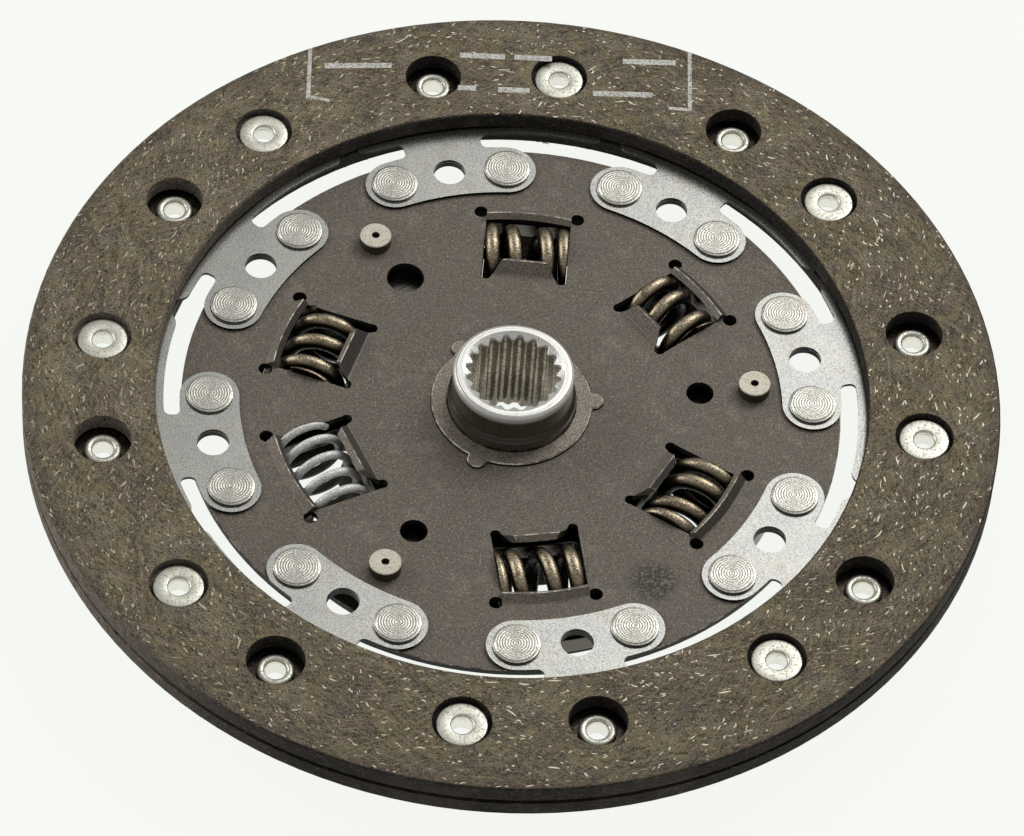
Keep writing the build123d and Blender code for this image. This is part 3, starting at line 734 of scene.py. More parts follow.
def eased(
    node: str,
    width: float,
    finishes: Sequence[Finish],
    chosen: Callable[[bmesh.types.BMEdge], bool] = lambda edge: True,
    segments: int = 1,
) -> bpy.types.Mesh:
    """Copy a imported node's mesh, merge it, and round its sharp edges.

    Args:
        node: The node's name.
        width: How far the rounding reaches from an edge, in metres.
        finishes: The surface's finish, and that of its rounded edges if it differs.
        chosen: Tells whether a sharp edge is rounded.
        segments: Facets across a rounding.

    Returns:
        The new mesh.
    """
    shell = bmesh.new()
    shell.from_mesh(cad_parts[node].data)
    bmesh.ops.remove_doubles(shell, verts=shell.verts, dist=SAME_PLACE)
    bmesh.ops.dissolve_degenerate(shell, edges=shell.edges, dist=SAME_PLACE)
    bmesh.ops.dissolve_limit(shell, angle_limit=FLAT_ANGLE, verts=shell.verts, edges=shell.edges)
    for face in shell.faces:
        face.smooth = False
        face.material_index = 0
    sharp = [
        edge for edge in shell.edges if edge.is_manifold and edge.calc_face_angle() > SHARP_ANGLE and chosen(edge)
    ]
    bmesh.ops.bevel(
        shell,
        geom=sharp,
        offset=width,
        offset_type="OFFSET",
        segments=segments,
        profile=0.5,
        affect="EDGES",
        clamp_overlap=False,
        miter_outer="SHARP",
        material=len(finishes) - 1,
    )
    return settled(shell, f"{node}_eased", finishes)


def lathe(outline: Sequence[tuple[float, float]], steps: int) -> bpy.types.Mesh:
    """Turn an outline of radius and level about Z into a closed mesh.

    Args:
        outline: Corners in metres, in order round the section; a radius of 0 lies on the axis.
        steps: Facets in a full turn.

    Returns:
        The mesh, with its faces smooth.
    """
    shell = bmesh.new()
    section = [shell.verts.new((radius, 0.0, level)) for radius, level in outline]
    edges = [shell.edges.new(pair) for pair in zip(section, section[1:])]
    if outline[0][0] > 0:
        edges.append(shell.edges.new((section[-1], section[0])))
    bmesh.ops.spin(shell, geom=[*section, *edges], axis=(0, 0, 1), angle=math.tau, steps=steps)
    bmesh.ops.remove_doubles(shell, verts=shell.verts, dist=SAME_PLACE)
    bmesh.ops.recalc_face_normals(shell, faces=shell.faces)
    mesh = settled(shell, "lathe")
    mesh.shade_smooth()
    return mesh


class Recipe(Graph):
    """A Geometry Nodes tree with named inputs, which ends in one plain mesh."""

    def __init__(self, name: str) -> None:
        """Start the tree with its geometry in and out.

        Args:
            name: The tree's name.
        """
        super().__init__(bpy.data.node_groups.new(name, "GeometryNodeTree"))
        for way in ("INPUT", "OUTPUT"):
            self.tree.interface.new_socket("Geometry", in_out=way, socket_type="NodeSocketGeometry")
        self.given = self.tree.nodes.new("NodeGroupInput")
        self.values: dict[str, float | int] = {}

    def size(self, name: str, value: float) -> Socket:
        """Give the tree a named input, and the value that its modifier sets.

        Args:
            name: The input's name.
            value: Its value, an int for a count and a float for a length or an angle.

        Returns:
            The socket that carries it through the tree.
        """
        kind = "NodeSocketInt" if isinstance(value, int) else "NodeSocketFloat"
        item = self.tree.interface.new_socket(name, in_out="INPUT", socket_type=kind)
        self.values[item.identifier] = value
        return self.given.outputs[name]

    def close(self, geometry: Socket, finish: Finish) -> None:
        """Realize what the tree made, give it its finish, and pass it out.

        Args:
            geometry: What the tree made.
            finish: Its finish.
        """
        real = self.add("GeometryNodeRealizeInstances", {0: geometry})
        dressed = self.add("GeometryNodeSetMaterial", {"Geometry": real, "Material": finish.material})
        self.add("NodeGroupOutput", {0: dressed})

    def made(self, name: str, base: bpy.types.Mesh) -> bpy.types.Mesh:
        """Run the tree on a base mesh and take the plain mesh that results."""
        return baked(name, base, ("NODES", {"node_group": self.tree, **self.values}))


# ---------------------------------------------------------------- sub-assemblies
@dataclass
class FrictionFacings:
    """The two lining rings, the fibres laid bare in their faces, and the ink on the front one."""

    short_fibres: int = 3000
    long_fibres: int = 300
    short_length: float = 0.75 * MM
    long_length: float = 1.6 * MM
    fibre_width: float = 0.26 * MM
    fibre_stand: float = 0.03 * MM
    bends: tuple[float, ...] = (0.0, 0.35, -0.35, 0.8, -0.8)
    least_share: float = 0.5
    share_range: float = 1.15
    share_bias: float = 1.6
    width_range: tuple[float, float] = (0.6, 1.25)
    hole_margin: float = 0.7 * MM
    swirl_size: float = 14 * MM
    swirl_turn: float = 4.4
    loose_turn: float = 0.6
    seed: int = 7
    bracket_width: float = 0.75 * MM
    bar_width: float = 1.3 * MM
    ink_thickness: float = 0.02 * MM
    finish: Finish = field(default_factory=FrictionLining)
    fibre_finish: Finish = field(default_factory=LiningFibre)
    ink: Finish = field(default_factory=MarkingInk)

    def sliver(self, bend: float) -> bpy.types.Mesh:
        """Make one fibre 1 m long and 1 m wide, to be scaled: a low ridge that bends sideways.

        Args:
            bend: How far its middle stands off its ends, as a share of its length.

        Returns:
            The fibre's mesh.
        """
        shell = bmesh.new()
        rows = []
        for x, half in ((-0.5, 0.12), (-0.3, 0.42), (0.0, 0.5), (0.3, 0.42), (0.5, 0.12)):
            side = bend * (1 - 4 * x * x)
            corners = ((x, side - half, 0.0), (x, side, 1.0), (x, side + half, 0.0))
            rows.append([shell.verts.new(corner) for corner in corners])
        for first, second in zip(rows, rows[1:]):
            for i in range(3):
                shell.faces.new((first[i], second[i], second[(i + 1) % 3], first[(i + 1) % 3]))
        shell.faces.new(rows[0])
        shell.faces.new(rows[-1])
        bmesh.ops.recalc_face_normals(shell, faces=shell.faces)
        return settled(shell, "fibre")

    def face(self) -> bpy.types.Mesh:
        """Make the ring of the front face that the fibres lie on, inside the broken edges.

        Returns:
            The ring as a flat mesh.
        """
        shell = bmesh.new()
        steps = 120
        rings = []
        for radius in (LAYOUT.facing_inner + LAYOUT.edge_break, LAYOUT.facing_outer - 1.5 * LAYOUT.edge_break):
            spots = [at(radius, 360 / steps * i, LAYOUT.front_face) @ Vector() for i in range(steps)]
            rings.append([shell.verts.new(spot) for spot in spots])
        for i in range(steps):
            j = (i + 1) % steps
            shell.faces.new((rings[0][i], rings[1][i], rings[1][j], rings[0][j]))
        return settled(shell, "face")

    def holes(self, recipe: Recipe) -> Socket:
        """Points at the centres of a face's rivet holes.

        Args:
            recipe: The tree that gets them.

        Returns:
            The points.
        """
        circle = recipe.size("Rivet Circle", LAYOUT.rivet_circle)
        rings = []
        for shift in (LAYOUT.front_rivet_shift, LAYOUT.rear_rivet_shift):
            ring = recipe.add("GeometryNodeMeshCircle", {"Vertices": LAYOUT.tab_count, "Radius": circle})
            turn = (0.0, 0.0, math.radians(LAYOUT.first_tab_angle + shift))
            lift = (0.0, 0.0, LAYOUT.front_face)
            rings.append(recipe.add("GeometryNodeTransform", {0: ring, "Rotation": turn, "Translation": lift}))
        return recipe.add("GeometryNodeJoinGeometry", {0: rings})

    def scatter(self, fibres: Sequence[bpy.types.Object]) -> Recipe:
        """Strew fibres over a face: turned with the wound yarn, swirled, and clear of the rivet holes.

        Args:
            fibres: One fibre of each bend.

        Returns:
            The recipe, which takes the face as its base.
        """
        recipe = Recipe("lining_fibres")
        add = recipe.add
        hole = recipe.size("Hole Radius", LAYOUT.hole_radius + self.hole_margin)
        width = recipe.size("Fibre Width", self.fibre_width)
        stand = recipe.size("Fibre Stand", self.fibre_stand)
        swirl = recipe.size("Swirl Size", self.swirl_size)
        seed = recipe.size("Seed", self.seed)
        holes = self.holes(recipe)
        shown = [{"Object": fibre, "As Instance": True} for fibre in reversed(fibres)]
        shapes = [add("GeometryNodeObjectInfo", inputs, "Geometry") for inputs in shown]
        bundle = add("GeometryNodeJoinGeometry", {0: shapes})
        draws = [
            ("FLOAT", -self.loose_turn, self.loose_turn),
            ("FLOAT", 0.0, 1.0),
            ("FLOAT", *self.width_range),
            ("INT", 0, len(self.bends) - 1),
            ("FLOAT", 0.0, 1.0),
        ]
        batches = []
        for offset, name, count, length in (
            (0, "Short", self.short_fibres, self.short_length),
            (50, "Long", self.long_fibres, self.long_length),
        ):
            own = add(MATH, (seed, float(offset)), operation="ADD")
            drawn = []
            for step, (kind, low, high) in enumerate(draws):
                first, output = (4, 2) if kind == "INT" else (2, 1)
                limits = {first: low, first + 1: high, "Seed": add(MATH, (own, float(step)), operation="ADD")}
                drawn.append(add("FunctionNodeRandomValue", limits, output, data_type=kind))
            loose, share, thick, which, tone = drawn
            amount = recipe.size(f"{name} Fibres", count)
            span = recipe.size(f"{name} Length", length)
            area = math.pi * (LAYOUT.facing_outer**2 - LAYOUT.facing_inner**2)
            spread = {0: recipe.given.outputs[0], "Density": add(MATH, (amount, area), operation="DIVIDE"), "Seed": own}
            spots = add("GeometryNodeDistributePointsOnFaces", spread)
            gap = add("GeometryNodeProximity", {0: holes}, "Distance", target_element="POINTS")
            inside = add("FunctionNodeCompare", {0: gap, 1: hole}, operation="LESS_THAN", data_type="FLOAT")
            kept = add("GeometryNodeDeleteGeometry", {0: spots, 1: inside}, domain="POINT")
            where = add("GeometryNodeInputPosition")
            parts = add("ShaderNodeSeparateXYZ", {0: where}).node.outputs
            around = add(MATH, (parts[1], parts[0]), operation="ARCTAN2")
            cloudy = {"Vector": where, "Scale": add(MATH, (1.0, swirl), operation="DIVIDE"), "Detail": 2.0}
            cloud = add("ShaderNodeTexNoise", cloudy)
            bent = add(MATH, (cloud, self.swirl_turn, math.pi / 2 - self.swirl_turn / 2), operation="MULTIPLY_ADD")
            facing = add(MATH, (add(MATH, (around, bent), operation="ADD"), loose), operation="ADD")
            biased = add(MATH, (share, self.share_bias), operation="POWER")
            stretch = add(MATH, (biased, self.share_range, self.least_share), operation="MULTIPLY_ADD")
            long = add(MATH, (stretch, span), operation="MULTIPLY")
            wide = add(MATH, (thick, width), operation="MULTIPLY")
            laid = {
                "Points": kept,
                "Instance": bundle,
                "Pick Instance": True,
                "Instance Index": which,
                "Rotation": add("ShaderNodeCombineXYZ", {2: facing}),
                "Scale": add("ShaderNodeCombineXYZ", {0: long, 1: wide, 2: stand}),
            }
            toned = {0: add("GeometryNodeInstanceOnPoints", laid), "Name": "tone", "Value": tone}
            stored = {"data_type": "FLOAT", "domain": "INSTANCE"}
            batches.append(add("GeometryNodeStoreNamedAttribute", toned, **stored))
        recipe.close(add("GeometryNodeJoinGeometry", {0: batches}), self.fibre_finish)
        return recipe

    def lay_fibres(self) -> None:
        """Show the fibres of the front face, and the same ones turned over on the rear face."""
        fibres = [bpy.data.objects.new("fibre", self.sliver(bend)) for bend in self.bends]
        front = self.scatter(fibres).made("front_lining_fibres", self.face())
        for fibre in fibres:
            bpy.data.objects.remove(fibre)
        rear = front.copy()
        # Turned over about X, an angle a becomes -a; this turn brings the bare rings back onto the holes.
        turn = -2 * LAYOUT.first_tab_angle - LAYOUT.front_rivet_shift - LAYOUT.rear_rivet_shift
        rear.transform(Matrix.Rotation(math.pi, 4, "X") @ Matrix.Rotation(math.radians(turn), 4, "Z"))
        piece("front_lining_fibres", front, "plates", "facing")
        piece("rear_lining_fibres", rear, "plates", "facing")
        LOG.info("fibres: %d faces on each facing", len(front.polygons))

    def stamp(self) -> None:
        """Print the front face: a bracket at each end and plain bars between, as flat films of ink."""
        bracket, bar = self.bracket_width, self.bar_width
        strokes = [
            ((-43.7, 78.2), (-43.1, 65.6), bracket),
            ((-42.7, 66.0), (-39.0, 65.5), bracket),
            ((28.9, 84.9), (29.6, 69.9), bracket),
            ((29.2, 70.3), (25.5, 70.3), bracket),
            ((-40.6, 74.2), (-27.9, 75.6), bar),
            ((-15.0, 79.6), (-6.4, 80.0), bar),
            ((-4.6, 80.1), (2.6, 80.4), bar),
            ((16.2, 81.2), (26.3, 81.9), bar),
            ((-14.9, 71.3), (-11.4, 71.5), bar),
            ((-7.2, 71.6), (-1.2, 71.9), bar),
            ((10.9, 72.5), (22.2, 73.3), bar),
        ]
        shell = bmesh.new()
        for start, end, width in strokes:
            self.stroke(shell, Vector(start) * MM, Vector(end) * MM, width)
        piece("front_facing_ink", settled(shell, "front_facing_ink", [self.ink]), "plates", "facing")

    def stroke(self, shell: bmesh.types.BMesh, start: Vector, end: Vector, width: float) -> None:
        """Add one closed film of ink.

        Args:
            shell: The films so far.
            start: The middle of one end on the front face.
            end: The middle of the other end.
            width: The film's width.
        """
        along = (end - start).normalized() * width / 2
        across = Vector((-along.y, along.x))
        corners = (start - across, end - across, end + across, start + across)
        low, high = (
            [shell.verts.new((corner.x, corner.y, LAYOUT.front_face + lift)) for corner in corners]
            for lift in (-self.ink_thickness, self.ink_thickness)
        )
        shell.faces.new(low[::-1])
        shell.faces.new(high)
        for i in range(4):
            j = (i + 1) % 4
            shell.faces.new((low[i], low[j], high[j], high[i]))

    def build(self) -> None:
        """Dress both rings and add their fibres and ink."""
        for node in ("front_facing", "rear_facing"):
            dress(node, self.finish)
        self.lay_fibres()
        self.stamp()


@dataclass
class Rivets:
    """The tubular rivets of the facings and the solid rivets of the tabs."""

    head_radius: float = 4.65 * MM
    head_top: float = 2.95 * MM
    head_seat: float = 2.25 * MM
    bore_radius: float = 1.9 * MM
    shank_radius: float = 2.45 * MM
    curl_seat: float = -0.5 * MM
    curl_height: float = 0.65 * MM
    curl_radius: float = 3.5 * MM
    spun_radius: float = 4.35 * MM
    spun_top: float = 0.25 * MM
    spun_seat: float = -0.5 * MM
    tail_radius: float = 3.9 * MM
    tail_seat: float = -2.5 * MM
    tail_height: float = 1.2 * MM
    solid_shank: float = 3.0 * MM
    spun_rings: int = 8
    ring_depth: float = 0.05 * MM
    steps: int = 40
    plated: Finish = field(default_factory=ZincPlate)
    spun: Finish = field(default_factory=SpunRivetSteel)

    def tubular(self, side: Side) -> bpy.types.Mesh:
        """Turn one tubular rivet: rounded flat head at one end, a curl like a bead at the other.

        Args:
            side: Which facing its head sits in.

        Returns:
            The rivet's mesh, on the hub axis.
        """
        bore, head, top = self.bore_radius, self.head_radius, self.head_top
        curl_end = self.curl_seat - self.curl_height
        middle = (self.curl_radius + bore) / 2
        reach = (self.curl_radius - bore) / 2
        beads = [math.radians(a) for a in range(0, 181, 30)]
        bead = [(middle + reach * math.cos(a), self.curl_seat - self.curl_height * math.sin(a)) for a in beads]
        outline = [
            (bore, top - 0.45 * MM),
            (bore + 0.08 * MM, top - 0.2 * MM),
            (bore + 0.28 * MM, top - 0.04 * MM),
            (bore + 0.5 * MM, top),
            (head - 0.3 * MM, top),
            (head - 0.1 * MM, top - 0.06 * MM),
            (head, top - 0.2 * MM),
            (head, self.head_seat),
            (self.shank_radius, self.head_seat),
            (self.shank_radius, self.curl_seat),
            *bead,
            (bore, (curl_end + top) / 2),
        ]
        mesh = lathe(outline, self.steps)
        if side is Side.REAR:
            mesh.transform(Matrix.Rotation(math.pi, 4, "X"))
        return mesh

    def solid(self) -> bpy.types.Mesh:
        """Turn one solid rivet: spun rings and a stepped rim on its head, an upset tail below.

        Returns:
            The rivet's mesh, on the hub axis.
        """
        top, rim = self.spun_top, self.spun_radius
        flat = rim - 0.46 * MM
        pitch = flat / self.spun_rings
        rings = [(pitch * i / 4, top - self.ring_depth * (0, 0.5, 1, 0.5)[i % 4]) for i in range(4 * self.spun_rings)]
        outline = [
            *rings,
            (flat, top),
            (flat + 0.06 * MM, top - 0.2 * MM),
            (flat + 0.16 * MM, top - 0.22 * MM),
            (rim - 0.1 * MM, top - 0.2 * MM),
            (rim, top - 0.3 * MM),
            (rim, self.spun_seat),
            (self.solid_shank, self.spun_seat),
            (self.solid_shank, self.tail_seat),
            (self.tail_radius, self.tail_seat),
            (self.tail_radius, self.tail_seat - self.tail_height + 0.3 * MM),
            (self.tail_radius - 0.3 * MM, self.tail_seat - self.tail_height),
            (0.0, self.tail_seat - self.tail_height),
        ]
        return lathe(outline, self.steps)

    def circle(self, radius: float, firsts: Sequence[float], finish: Finish) -> Recipe:
        """Set rivets evenly round one or more circles.

        Args:
            radius: Radius of the circle through their centres.
            firsts: Angle of the first rivet of each ring, in degrees.
            finish: Their finish.

        Returns:
            The recipe, which takes the rivet on the hub axis as its base.
        """
        recipe = Recipe("rivet_circle")
        reach = recipe.size("Circle Radius", radius)
        count = recipe.size("Rivets", LAYOUT.tab_count)
        rings = []
        for number, first in enumerate(firsts):
            angle = recipe.size(f"First Angle {number + 1}", math.radians(first))
            ring = recipe.add("GeometryNodeMeshCircle", {"Vertices": count, "Radius": reach})
            turn = recipe.add("ShaderNodeCombineXYZ", {2: angle})
            turned = recipe.add("GeometryNodeTransform", {0: ring, "Rotation": turn})
            rings.append(recipe.add("GeometryNodeInstanceOnPoints", {0: turned, "Instance": recipe.given.outputs[0]}))
        recipe.close(recipe.add("GeometryNodeJoinGeometry", {0: rings}), finish)
        return recipe

    def build(self) -> None:
        """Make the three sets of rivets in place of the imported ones."""
        tab = LAYOUT.first_tab_angle
        for side, shift in ((Side.FRONT, LAYOUT.front_rivet_shift), (Side.REAR, LAYOUT.rear_rivet_shift)):
            name = f"{side.name.lower()}_facing_rivets"
            recipe = self.circle(LAYOUT.rivet_circle, [tab + shift], self.plated)
            mesh = recipe.made(f"{name}_turned", self.tubular(side))
            piece(f"{name}_turned", mesh, "plates", "facing_rivet", [name])
        pair = [tab - LAYOUT.tab_half_angle, tab + LAYOUT.tab_half_angle]
        mesh = self.circle(LAYOUT.tab_circle, pair, self.spun).made("segment_rivets_turned", self.solid())
        piece("segment_rivets_turned", mesh, "plates", "steel_rivet", ["segment_rivets"])


@dataclass
class Cushion:
    """The eight waved spring segments that carry the facings."""

    finish: Finish = field(default_factory=SpringSteelStrip)

    def build(self) -> None:
        """Dress the segments."""
        for number in range(1, LAYOUT.tab_count + 1):
            dress(f"cushion_segment_{number}", self.finish)


@dataclass
class SidePlates:
    """The two side plates with their folded window lips, and the pins that join them."""

    corner: float = 0.15 * MM
    lip_foot: float = 0.5 * MM
    rim_radius: float = 50.0 * MM
    front_top: float = -1.1 * MM
    rear_bottom: float = -12.1 * MM
    pins: int = 3
    coat: Finish = field(default_factory=PhosphatedSteel)
    rubbed_highlight: Finish = field(default_factory=RubbedEdgeHighlight)
    pin_finish: Finish = field(default_factory=PlatedPin)

    def rubbed_and_highlighted(self, edge: bmesh.types.BMEdge) -> bool:
        """Tell whether an edge is rubbed bright with a painted highlight: it is on the lips' free edges and the plates'
        outer rims.

        Args:
            edge: A sharp edge of a plate.

        Returns:
            True where it does.
        """
        spots = [vert.co for vert in edge.verts]
        lifted = all(spot.z > self.front_top + self.lip_foot for spot in spots)
        lowered = all(spot.z < self.rear_bottom - self.lip_foot for spot in spots)
        return lifted or lowered or all(spot.xy.length > self.rim_radius for spot in spots)

    def build(self) -> None:
        """Round the plates' corners, with the coat rubbed off there and a painted highlight on them, and dress the
        pins.
        """
        for node in ("front_side_plate", "rear_side_plate"):
            mesh = eased(node, self.corner, [self.coat, self.rubbed_highlight], self.rubbed_and_highlighted)
            wear_and_painted_light = sum(face.material_index for face in mesh.polygons)
            LOG.info("%s: %d faces, %d of them rubbed bright", node, len(mesh.polygons), wear_and_painted_light)
            piece(f"{node}_eased", mesh, "plates", "side_plate", [node])
        for number in range(1, self.pins + 1):
            dress(f"stop_pin_{number}", self.pin_finish)


@dataclass
class HubAndFriction:
    """The splined hub with its flange, and the friction pieces about it."""

    corner: float = 0.2 * MM
    bush_corner: float = 0.22 * MM
    steel: Finish = field(default_factory=MachinedSteel)
    bush: Finish = field(default_factory=SinteredSteel)
    rubbed_highlight: Finish = field(default_factory=RubbedEdgeHighlight)
    felt: Finish = field(default_factory=FrictionFelt)
    strip: Finish = field(default_factory=SpringSteelStrip)

    def build(self) -> None:
        """Round the hub and the bush, and dress the washers."""
        piece("hub_eased", eased("hub", self.corner, [self.steel], segments=2), "hub", "hub_steel", ["hub"])
        # The bush's rounded corners are rubbed bright, a painted highlight too.
        collar = eased("front_friction_bush", self.bush_corner, [self.bush, self.rubbed_highlight])
        piece("front_friction_bush_eased", collar, "plates", "bush", ["front_friction_bush"])
        dress("rear_friction_washer", self.felt)
        for node in ("thrust_ring", "diaphragm_spring"):
            dress(node, self.strip)


@dataclass(frozen=True)
class Coil:
    """A right-hand compression spring with closed, ground ends: sizes in metres and turns."""

    wire_radius: float
    coil_radius: float
    active_pitch: float
    active_turns: float
    closed_pitch: float
    finish: Finish
    slot: str


@dataclass(frozen=True)
class Station:
    """One spring window: the spring's node, angle, half length and where a crest of it lies."""

    node: str
    angle: float
    half_length: float
    crest_turns: float
    coil: Coil


@dataclass
class DamperSprings:
    """Five heavy springs and one light one, standing in the windows along the spring circle."""

    end_clearance: float = 0.1 * MM
    ground_share: float = 0.35
    steps: int = 320
    sides: int = 16
    pressed: float = 0.8

    def stations(self) -> list[Station]:
        """List the six springs, clockwise from the top.

        Returns:
            The springs in their windows.
        """
        heavy = Coil(1.45 * MM, 5.6 * MM, 6.1 * MM, 1.36, 3.25 * MM, OilTemperedWire(), "heavy_spring")
        light = Coil(0.8 * MM, 6.15 * MM, 4.15 * MM, 3.4, 3.0 * MM, PhosphateDrawnWire(), "light_spring")
        return [
            Station("damper_spring_1", 89.2, 8.0 * MM, 0.62, heavy),
            Station("damper_spring_2", 41.1, 7.1 * MM, 0.72, heavy),
            Station("damper_spring_3", -27.7, 8.2 * MM, 0.58, heavy),
            Station("damper_spring_4", -78.5, 8.0 * MM, 0.75, heavy),
            Station("light_damper_spring", -151.8, 9.0 * MM, 0.27, light),
            Station("damper_spring_5", 164.3, 8.0 * MM, 0.07, heavy),
        ]

    def wind(self, station: Station) -> Recipe:
        """Wind a spring: a helix whose pitch closes up towards both ends, ground flat there.

        Args:
            station: The spring's window and sizes.

        Returns:
            The recipe; it needs no base.
        """
        coil = station.coil
        recipe = Recipe("coil_spring")
        add = recipe.add
        wire = recipe.size("Wire Radius", coil.wire_radius)
        radius = recipe.size("Coil Radius", coil.coil_radius)
        pitch = recipe.size("Active Pitch", coil.active_pitch)
        closed = recipe.size("Closed Pitch", coil.closed_pitch)
        open_half = recipe.size("Active Turns Each Side", coil.active_turns / 2)
        seat = recipe.size("Half Length", station.half_length - self.end_clearance)
        crest = recipe.size("Crest", station.crest_turns)
        angle = recipe.size("Window Angle", math.radians(station.angle))
        circle = recipe.size("Spring Circle", LAYOUT.spring_circle)
        level = recipe.size("Level", LAYOUT.spring_level)
        steps = recipe.size("Steps", self.steps)
        reach = add(MATH, (seat, add(MATH, (wire, self.ground_share), operation="MULTIPLY")), operation="ADD")
        closed_run = add(MATH, (reach, add(MATH, (open_half, pitch), operation="MULTIPLY")), operation="SUBTRACT")
        half_turns = add(MATH, (open_half, add(MATH, (closed_run, closed), operation="DIVIDE")), operation="ADD")
        line = add("GeometryNodeCurvePrimitiveLine", {"End": (1.0, 0.0, 0.0)})
        line = add("GeometryNodeResampleCurve", {0: line, "Count": steps})
        along = add("GeometryNodeSplineParameter")
        turns = add(MATH, (add(MATH, (along, 2.0, -1.0), operation="MULTIPLY_ADD"), half_turns), operation="MULTIPLY")
        size = add(MATH, (turns,), operation="ABSOLUTE")
        opened = add(MATH, (size, open_half), operation="MINIMUM")
        shut = add(MATH, (add(MATH, (size, opened), operation="SUBTRACT"), closed), operation="MULTIPLY")
        travel = add(MATH, (opened, pitch, shut), operation="MULTIPLY_ADD")
        travel = add(MATH, (travel, add(MATH, (turns,), operation="SIGN")), operation="MULTIPLY")
        phase = add(MATH, (add(MATH, (turns, crest), operation="SUBTRACT"), math.tau), operation="MULTIPLY")
        inwards = add(MATH, (add(MATH, (phase,), operation="SINE"), radius), operation="MULTIPLY")
        out = add(MATH, (inwards, -1.0), operation="MULTIPLY")
        up = add(MATH, (add(MATH, (phase,), operation="COSINE"), radius), operation="MULTIPLY")
        shaped = add("ShaderNodeCombineXYZ", {0: travel, 1: out, 2: up})
        helix = add("GeometryNodeSetPosition", {0: line, "Position": shaped})
        section = add("GeometryNodeCurvePrimitiveCircle", {"Resolution": self.sides, "Radius": wire})
        tube = add("GeometryNodeCurveToMesh", {0: helix, 1: section, "Fill Caps": True})
        parts = add("ShaderNodeSeparateXYZ", {0: add("GeometryNodeInputPosition")}).node.outputs
        below = add(MATH, (parts[0], seat), operation="MINIMUM")
        flat = add(MATH, (below, add(MATH, (seat, -1.0), operation="MULTIPLY")), operation="MAXIMUM")
        ground = add("ShaderNodeCombineXYZ", {0: flat, 1: parts[1], 2: parts[2]})
        tube = add("GeometryNodeSetPosition", {0: tube, "Position": ground})
        tube = add("GeometryNodeSetShadeSmooth", {0: tube, "Shade Smooth": True})
        stand = add("ShaderNodeCombineXYZ", {1: circle, 2: level})
        moved = add("GeometryNodeTransform", {0: tube, "Translation": stand})
        turn = add("ShaderNodeCombineXYZ", {2: add(MATH, (angle, math.pi / 2), operation="SUBTRACT")})
        placed = add("GeometryNodeTransform", {0: moved, "Rotation": turn})
        recipe.close(placed, coil.finish)
        return recipe

    def build(self) -> None:
        """Wind the springs; each rides between plates and hub."""
        for station in self.stations():
            mesh = self.wind(station).made(f"{station.node}_wound", bpy.data.meshes.new("empty"))
            spring = piece(f"{station.node}_wound", mesh, "springs", station.coil.slot, [station.node])
            middle = at(LAYOUT.spring_circle, station.angle, LAYOUT.spring_level) @ Vector()
            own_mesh(spring)
            LOG.info("%s: %d faces", spring.name, len(mesh.polygons))


@dataclass(frozen=True)
class Lamp:
    """A square soft lamp that looks at the disc: place and side in metres, power in watts."""

    name: str
    place: tuple[float, float, float]
    side: float
    power: float

    def hang(self) -> None:
        """Add the lamp to the scene, aimed at the disc."""
        data = bpy.data.lights.new(self.name, "AREA")
        data.shape = "SQUARE"
        data.size = self.side
        data.energy = self.power
        lamp = bpy.data.objects.new(self.name, data)
        aim = (-Vector(self.place)).to_track_quat("-Z", "Y")
        lamp.matrix_world = Matrix.Translation(self.place) @ aim.to_matrix().to_4x4()
        bpy.context.scene.collection.objects.link(lamp)


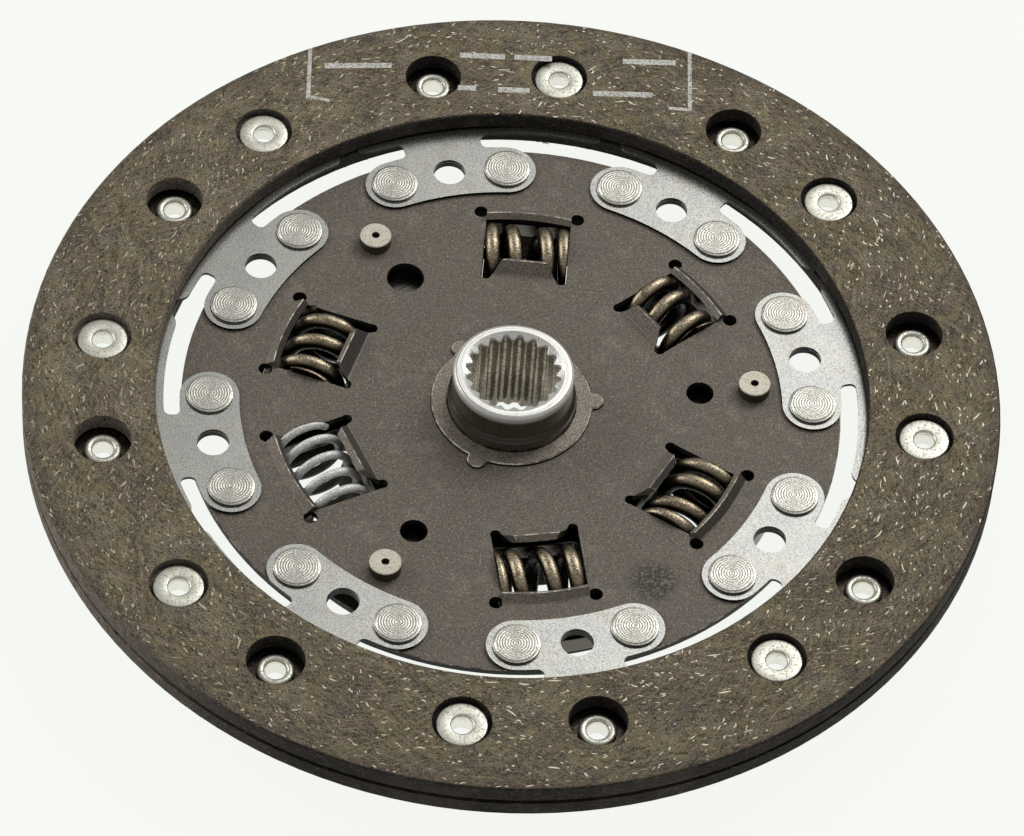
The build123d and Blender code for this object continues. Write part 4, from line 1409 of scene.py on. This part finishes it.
@dataclass(frozen=True)
class Studio:
    """Plain pale floor, soft lamps and the camera."""

    camera_place: tuple[float, float, float] = (0.0, -0.711303, 0.903010)
    camera_right: tuple[float, float, float] = (0.996935, 0.0614265, 0.0484499)
    camera_up: tuple[float, float, float] = (-0.0782338, 0.7850527, 0.6144686)
    focal_pixels: float = 6235.27
    image_width: int = 1024
    sensor_width: float = 36.0
    clip: tuple[float, float] = (0.05, 20.0)
    ground: str = "F8FAF5"
    floor_size: float = 6.0
    floor_colour: str = "E4E6E2"
    floor_glow: float = 1.022
    glow_share: float = 0.93
    ambient: float = 0.34
    lamps: tuple[Lamp, ...] = (
        Lamp("soft_box", (0.50, 0.80, 1.05), 1.06, 6.2),
        Lamp("key", (0.85, 0.95, 1.05), 0.5, 5.5),
        Lamp("left_fill", (-1.10, 0.45, 0.60), 0.7, 6.0),
    )

    def add_camera(self) -> None:
        """Put the camera at the viewing angle, with no shift and no depth of field."""
        data = bpy.data.cameras.new("view")
        data.sensor_fit = "HORIZONTAL"
        data.sensor_width = self.sensor_width
        data.lens = self.focal_pixels / self.image_width * self.sensor_width
        data.clip_start, data.clip_end = self.clip
        right = Vector(self.camera_right).normalized()
        back = right.cross(Vector(self.camera_up)).normalized()
        up = back.cross(right)
        camera = bpy.data.objects.new("view", data)
        camera.matrix_world = Matrix.Translation(self.camera_place) @ Matrix((right, up, back)).transposed().to_4x4()
        bpy.context.scene.collection.objects.link(camera)
        bpy.context.scene.camera = camera

    def add_floor(self) -> None:
        """Lay the floor under the disc's lowest points: pale to the eye, with a trace of the disc's shadow."""
        bpy.ops.mesh.primitive_plane_add(size=self.floor_size, location=(0, 0, CAD_BOX[0][2]))
        floor = bpy.context.object
        floor.name = "floor"
        material = bpy.data.materials.new("floor")
        material.use_nodes = True
        graph = Graph(material.node_tree)
        diffuse = graph.add("ShaderNodeBsdfDiffuse", {"Color": linear(self.floor_colour)})
        glow = graph.add("ShaderNodeEmission", {"Color": linear(self.ground), "Strength": self.floor_glow})
        rays = graph.add("ShaderNodeLightPath").node.outputs
        direct = graph.add(MATH, (rays["Is Camera Ray"], rays["Is Glossy Ray"]), operation="MAXIMUM")
        seen = graph.add(MATH, (direct, rays["Is Transmission Ray"]), operation="MAXIMUM")
        share = graph.add(MATH, (seen, self.glow_share), operation="MULTIPLY")
        graph.add("ShaderNodeOutputMaterial", {0: graph.add("ShaderNodeMixShader", {0: share, 1: diffuse, 2: glow})})
        floor.data.materials.append(material)
        floor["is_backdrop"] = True

    def light(self) -> None:
        """Light the disc softly from above, fill from the left, and show a plain pale surround."""
        world = bpy.data.worlds.new("surround")
        bpy.context.scene.world = world
        world.use_nodes = True
        graph = Graph(world.node_tree)
        ambient = graph.add("ShaderNodeBackground", {"Color": linear("FFFFFF"), "Strength": self.ambient})
        shown = graph.add("ShaderNodeBackground", {"Color": linear(self.ground), "Strength": 1.0})
        seen = graph.add("ShaderNodeLightPath", output="Is Camera Ray")
        graph.add("ShaderNodeOutputWorld", {0: graph.add("ShaderNodeMixShader", {0: seen, 1: ambient, 2: shown})})
        for lamp in self.lamps:
            lamp.hang()

    def build(self) -> None:
        """Set up the camera, the lamps and the floor."""
        bpy.context.scene.view_settings.view_transform = "Standard"
        self.add_camera()
        self.light()
        self.add_floor()


def write_sizes() -> None:
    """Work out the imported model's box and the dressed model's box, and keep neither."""
    boxes = [[list(corner) for corner in box] for box in (CAD_BOX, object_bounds())]


def main() -> None:
    """Build and dress the sub-assemblies in order, then set up the studio."""
    logging.basicConfig(level=logging.INFO)
    for part in (Cushion(), FrictionFacings(), Rivets(), SidePlates(), HubAndFriction(), DamperSprings(), Studio()):
        part.build()
        LOG.info("%s done", type(part).__name__)
    write_sizes()


if __name__ == "__main__":
    main()
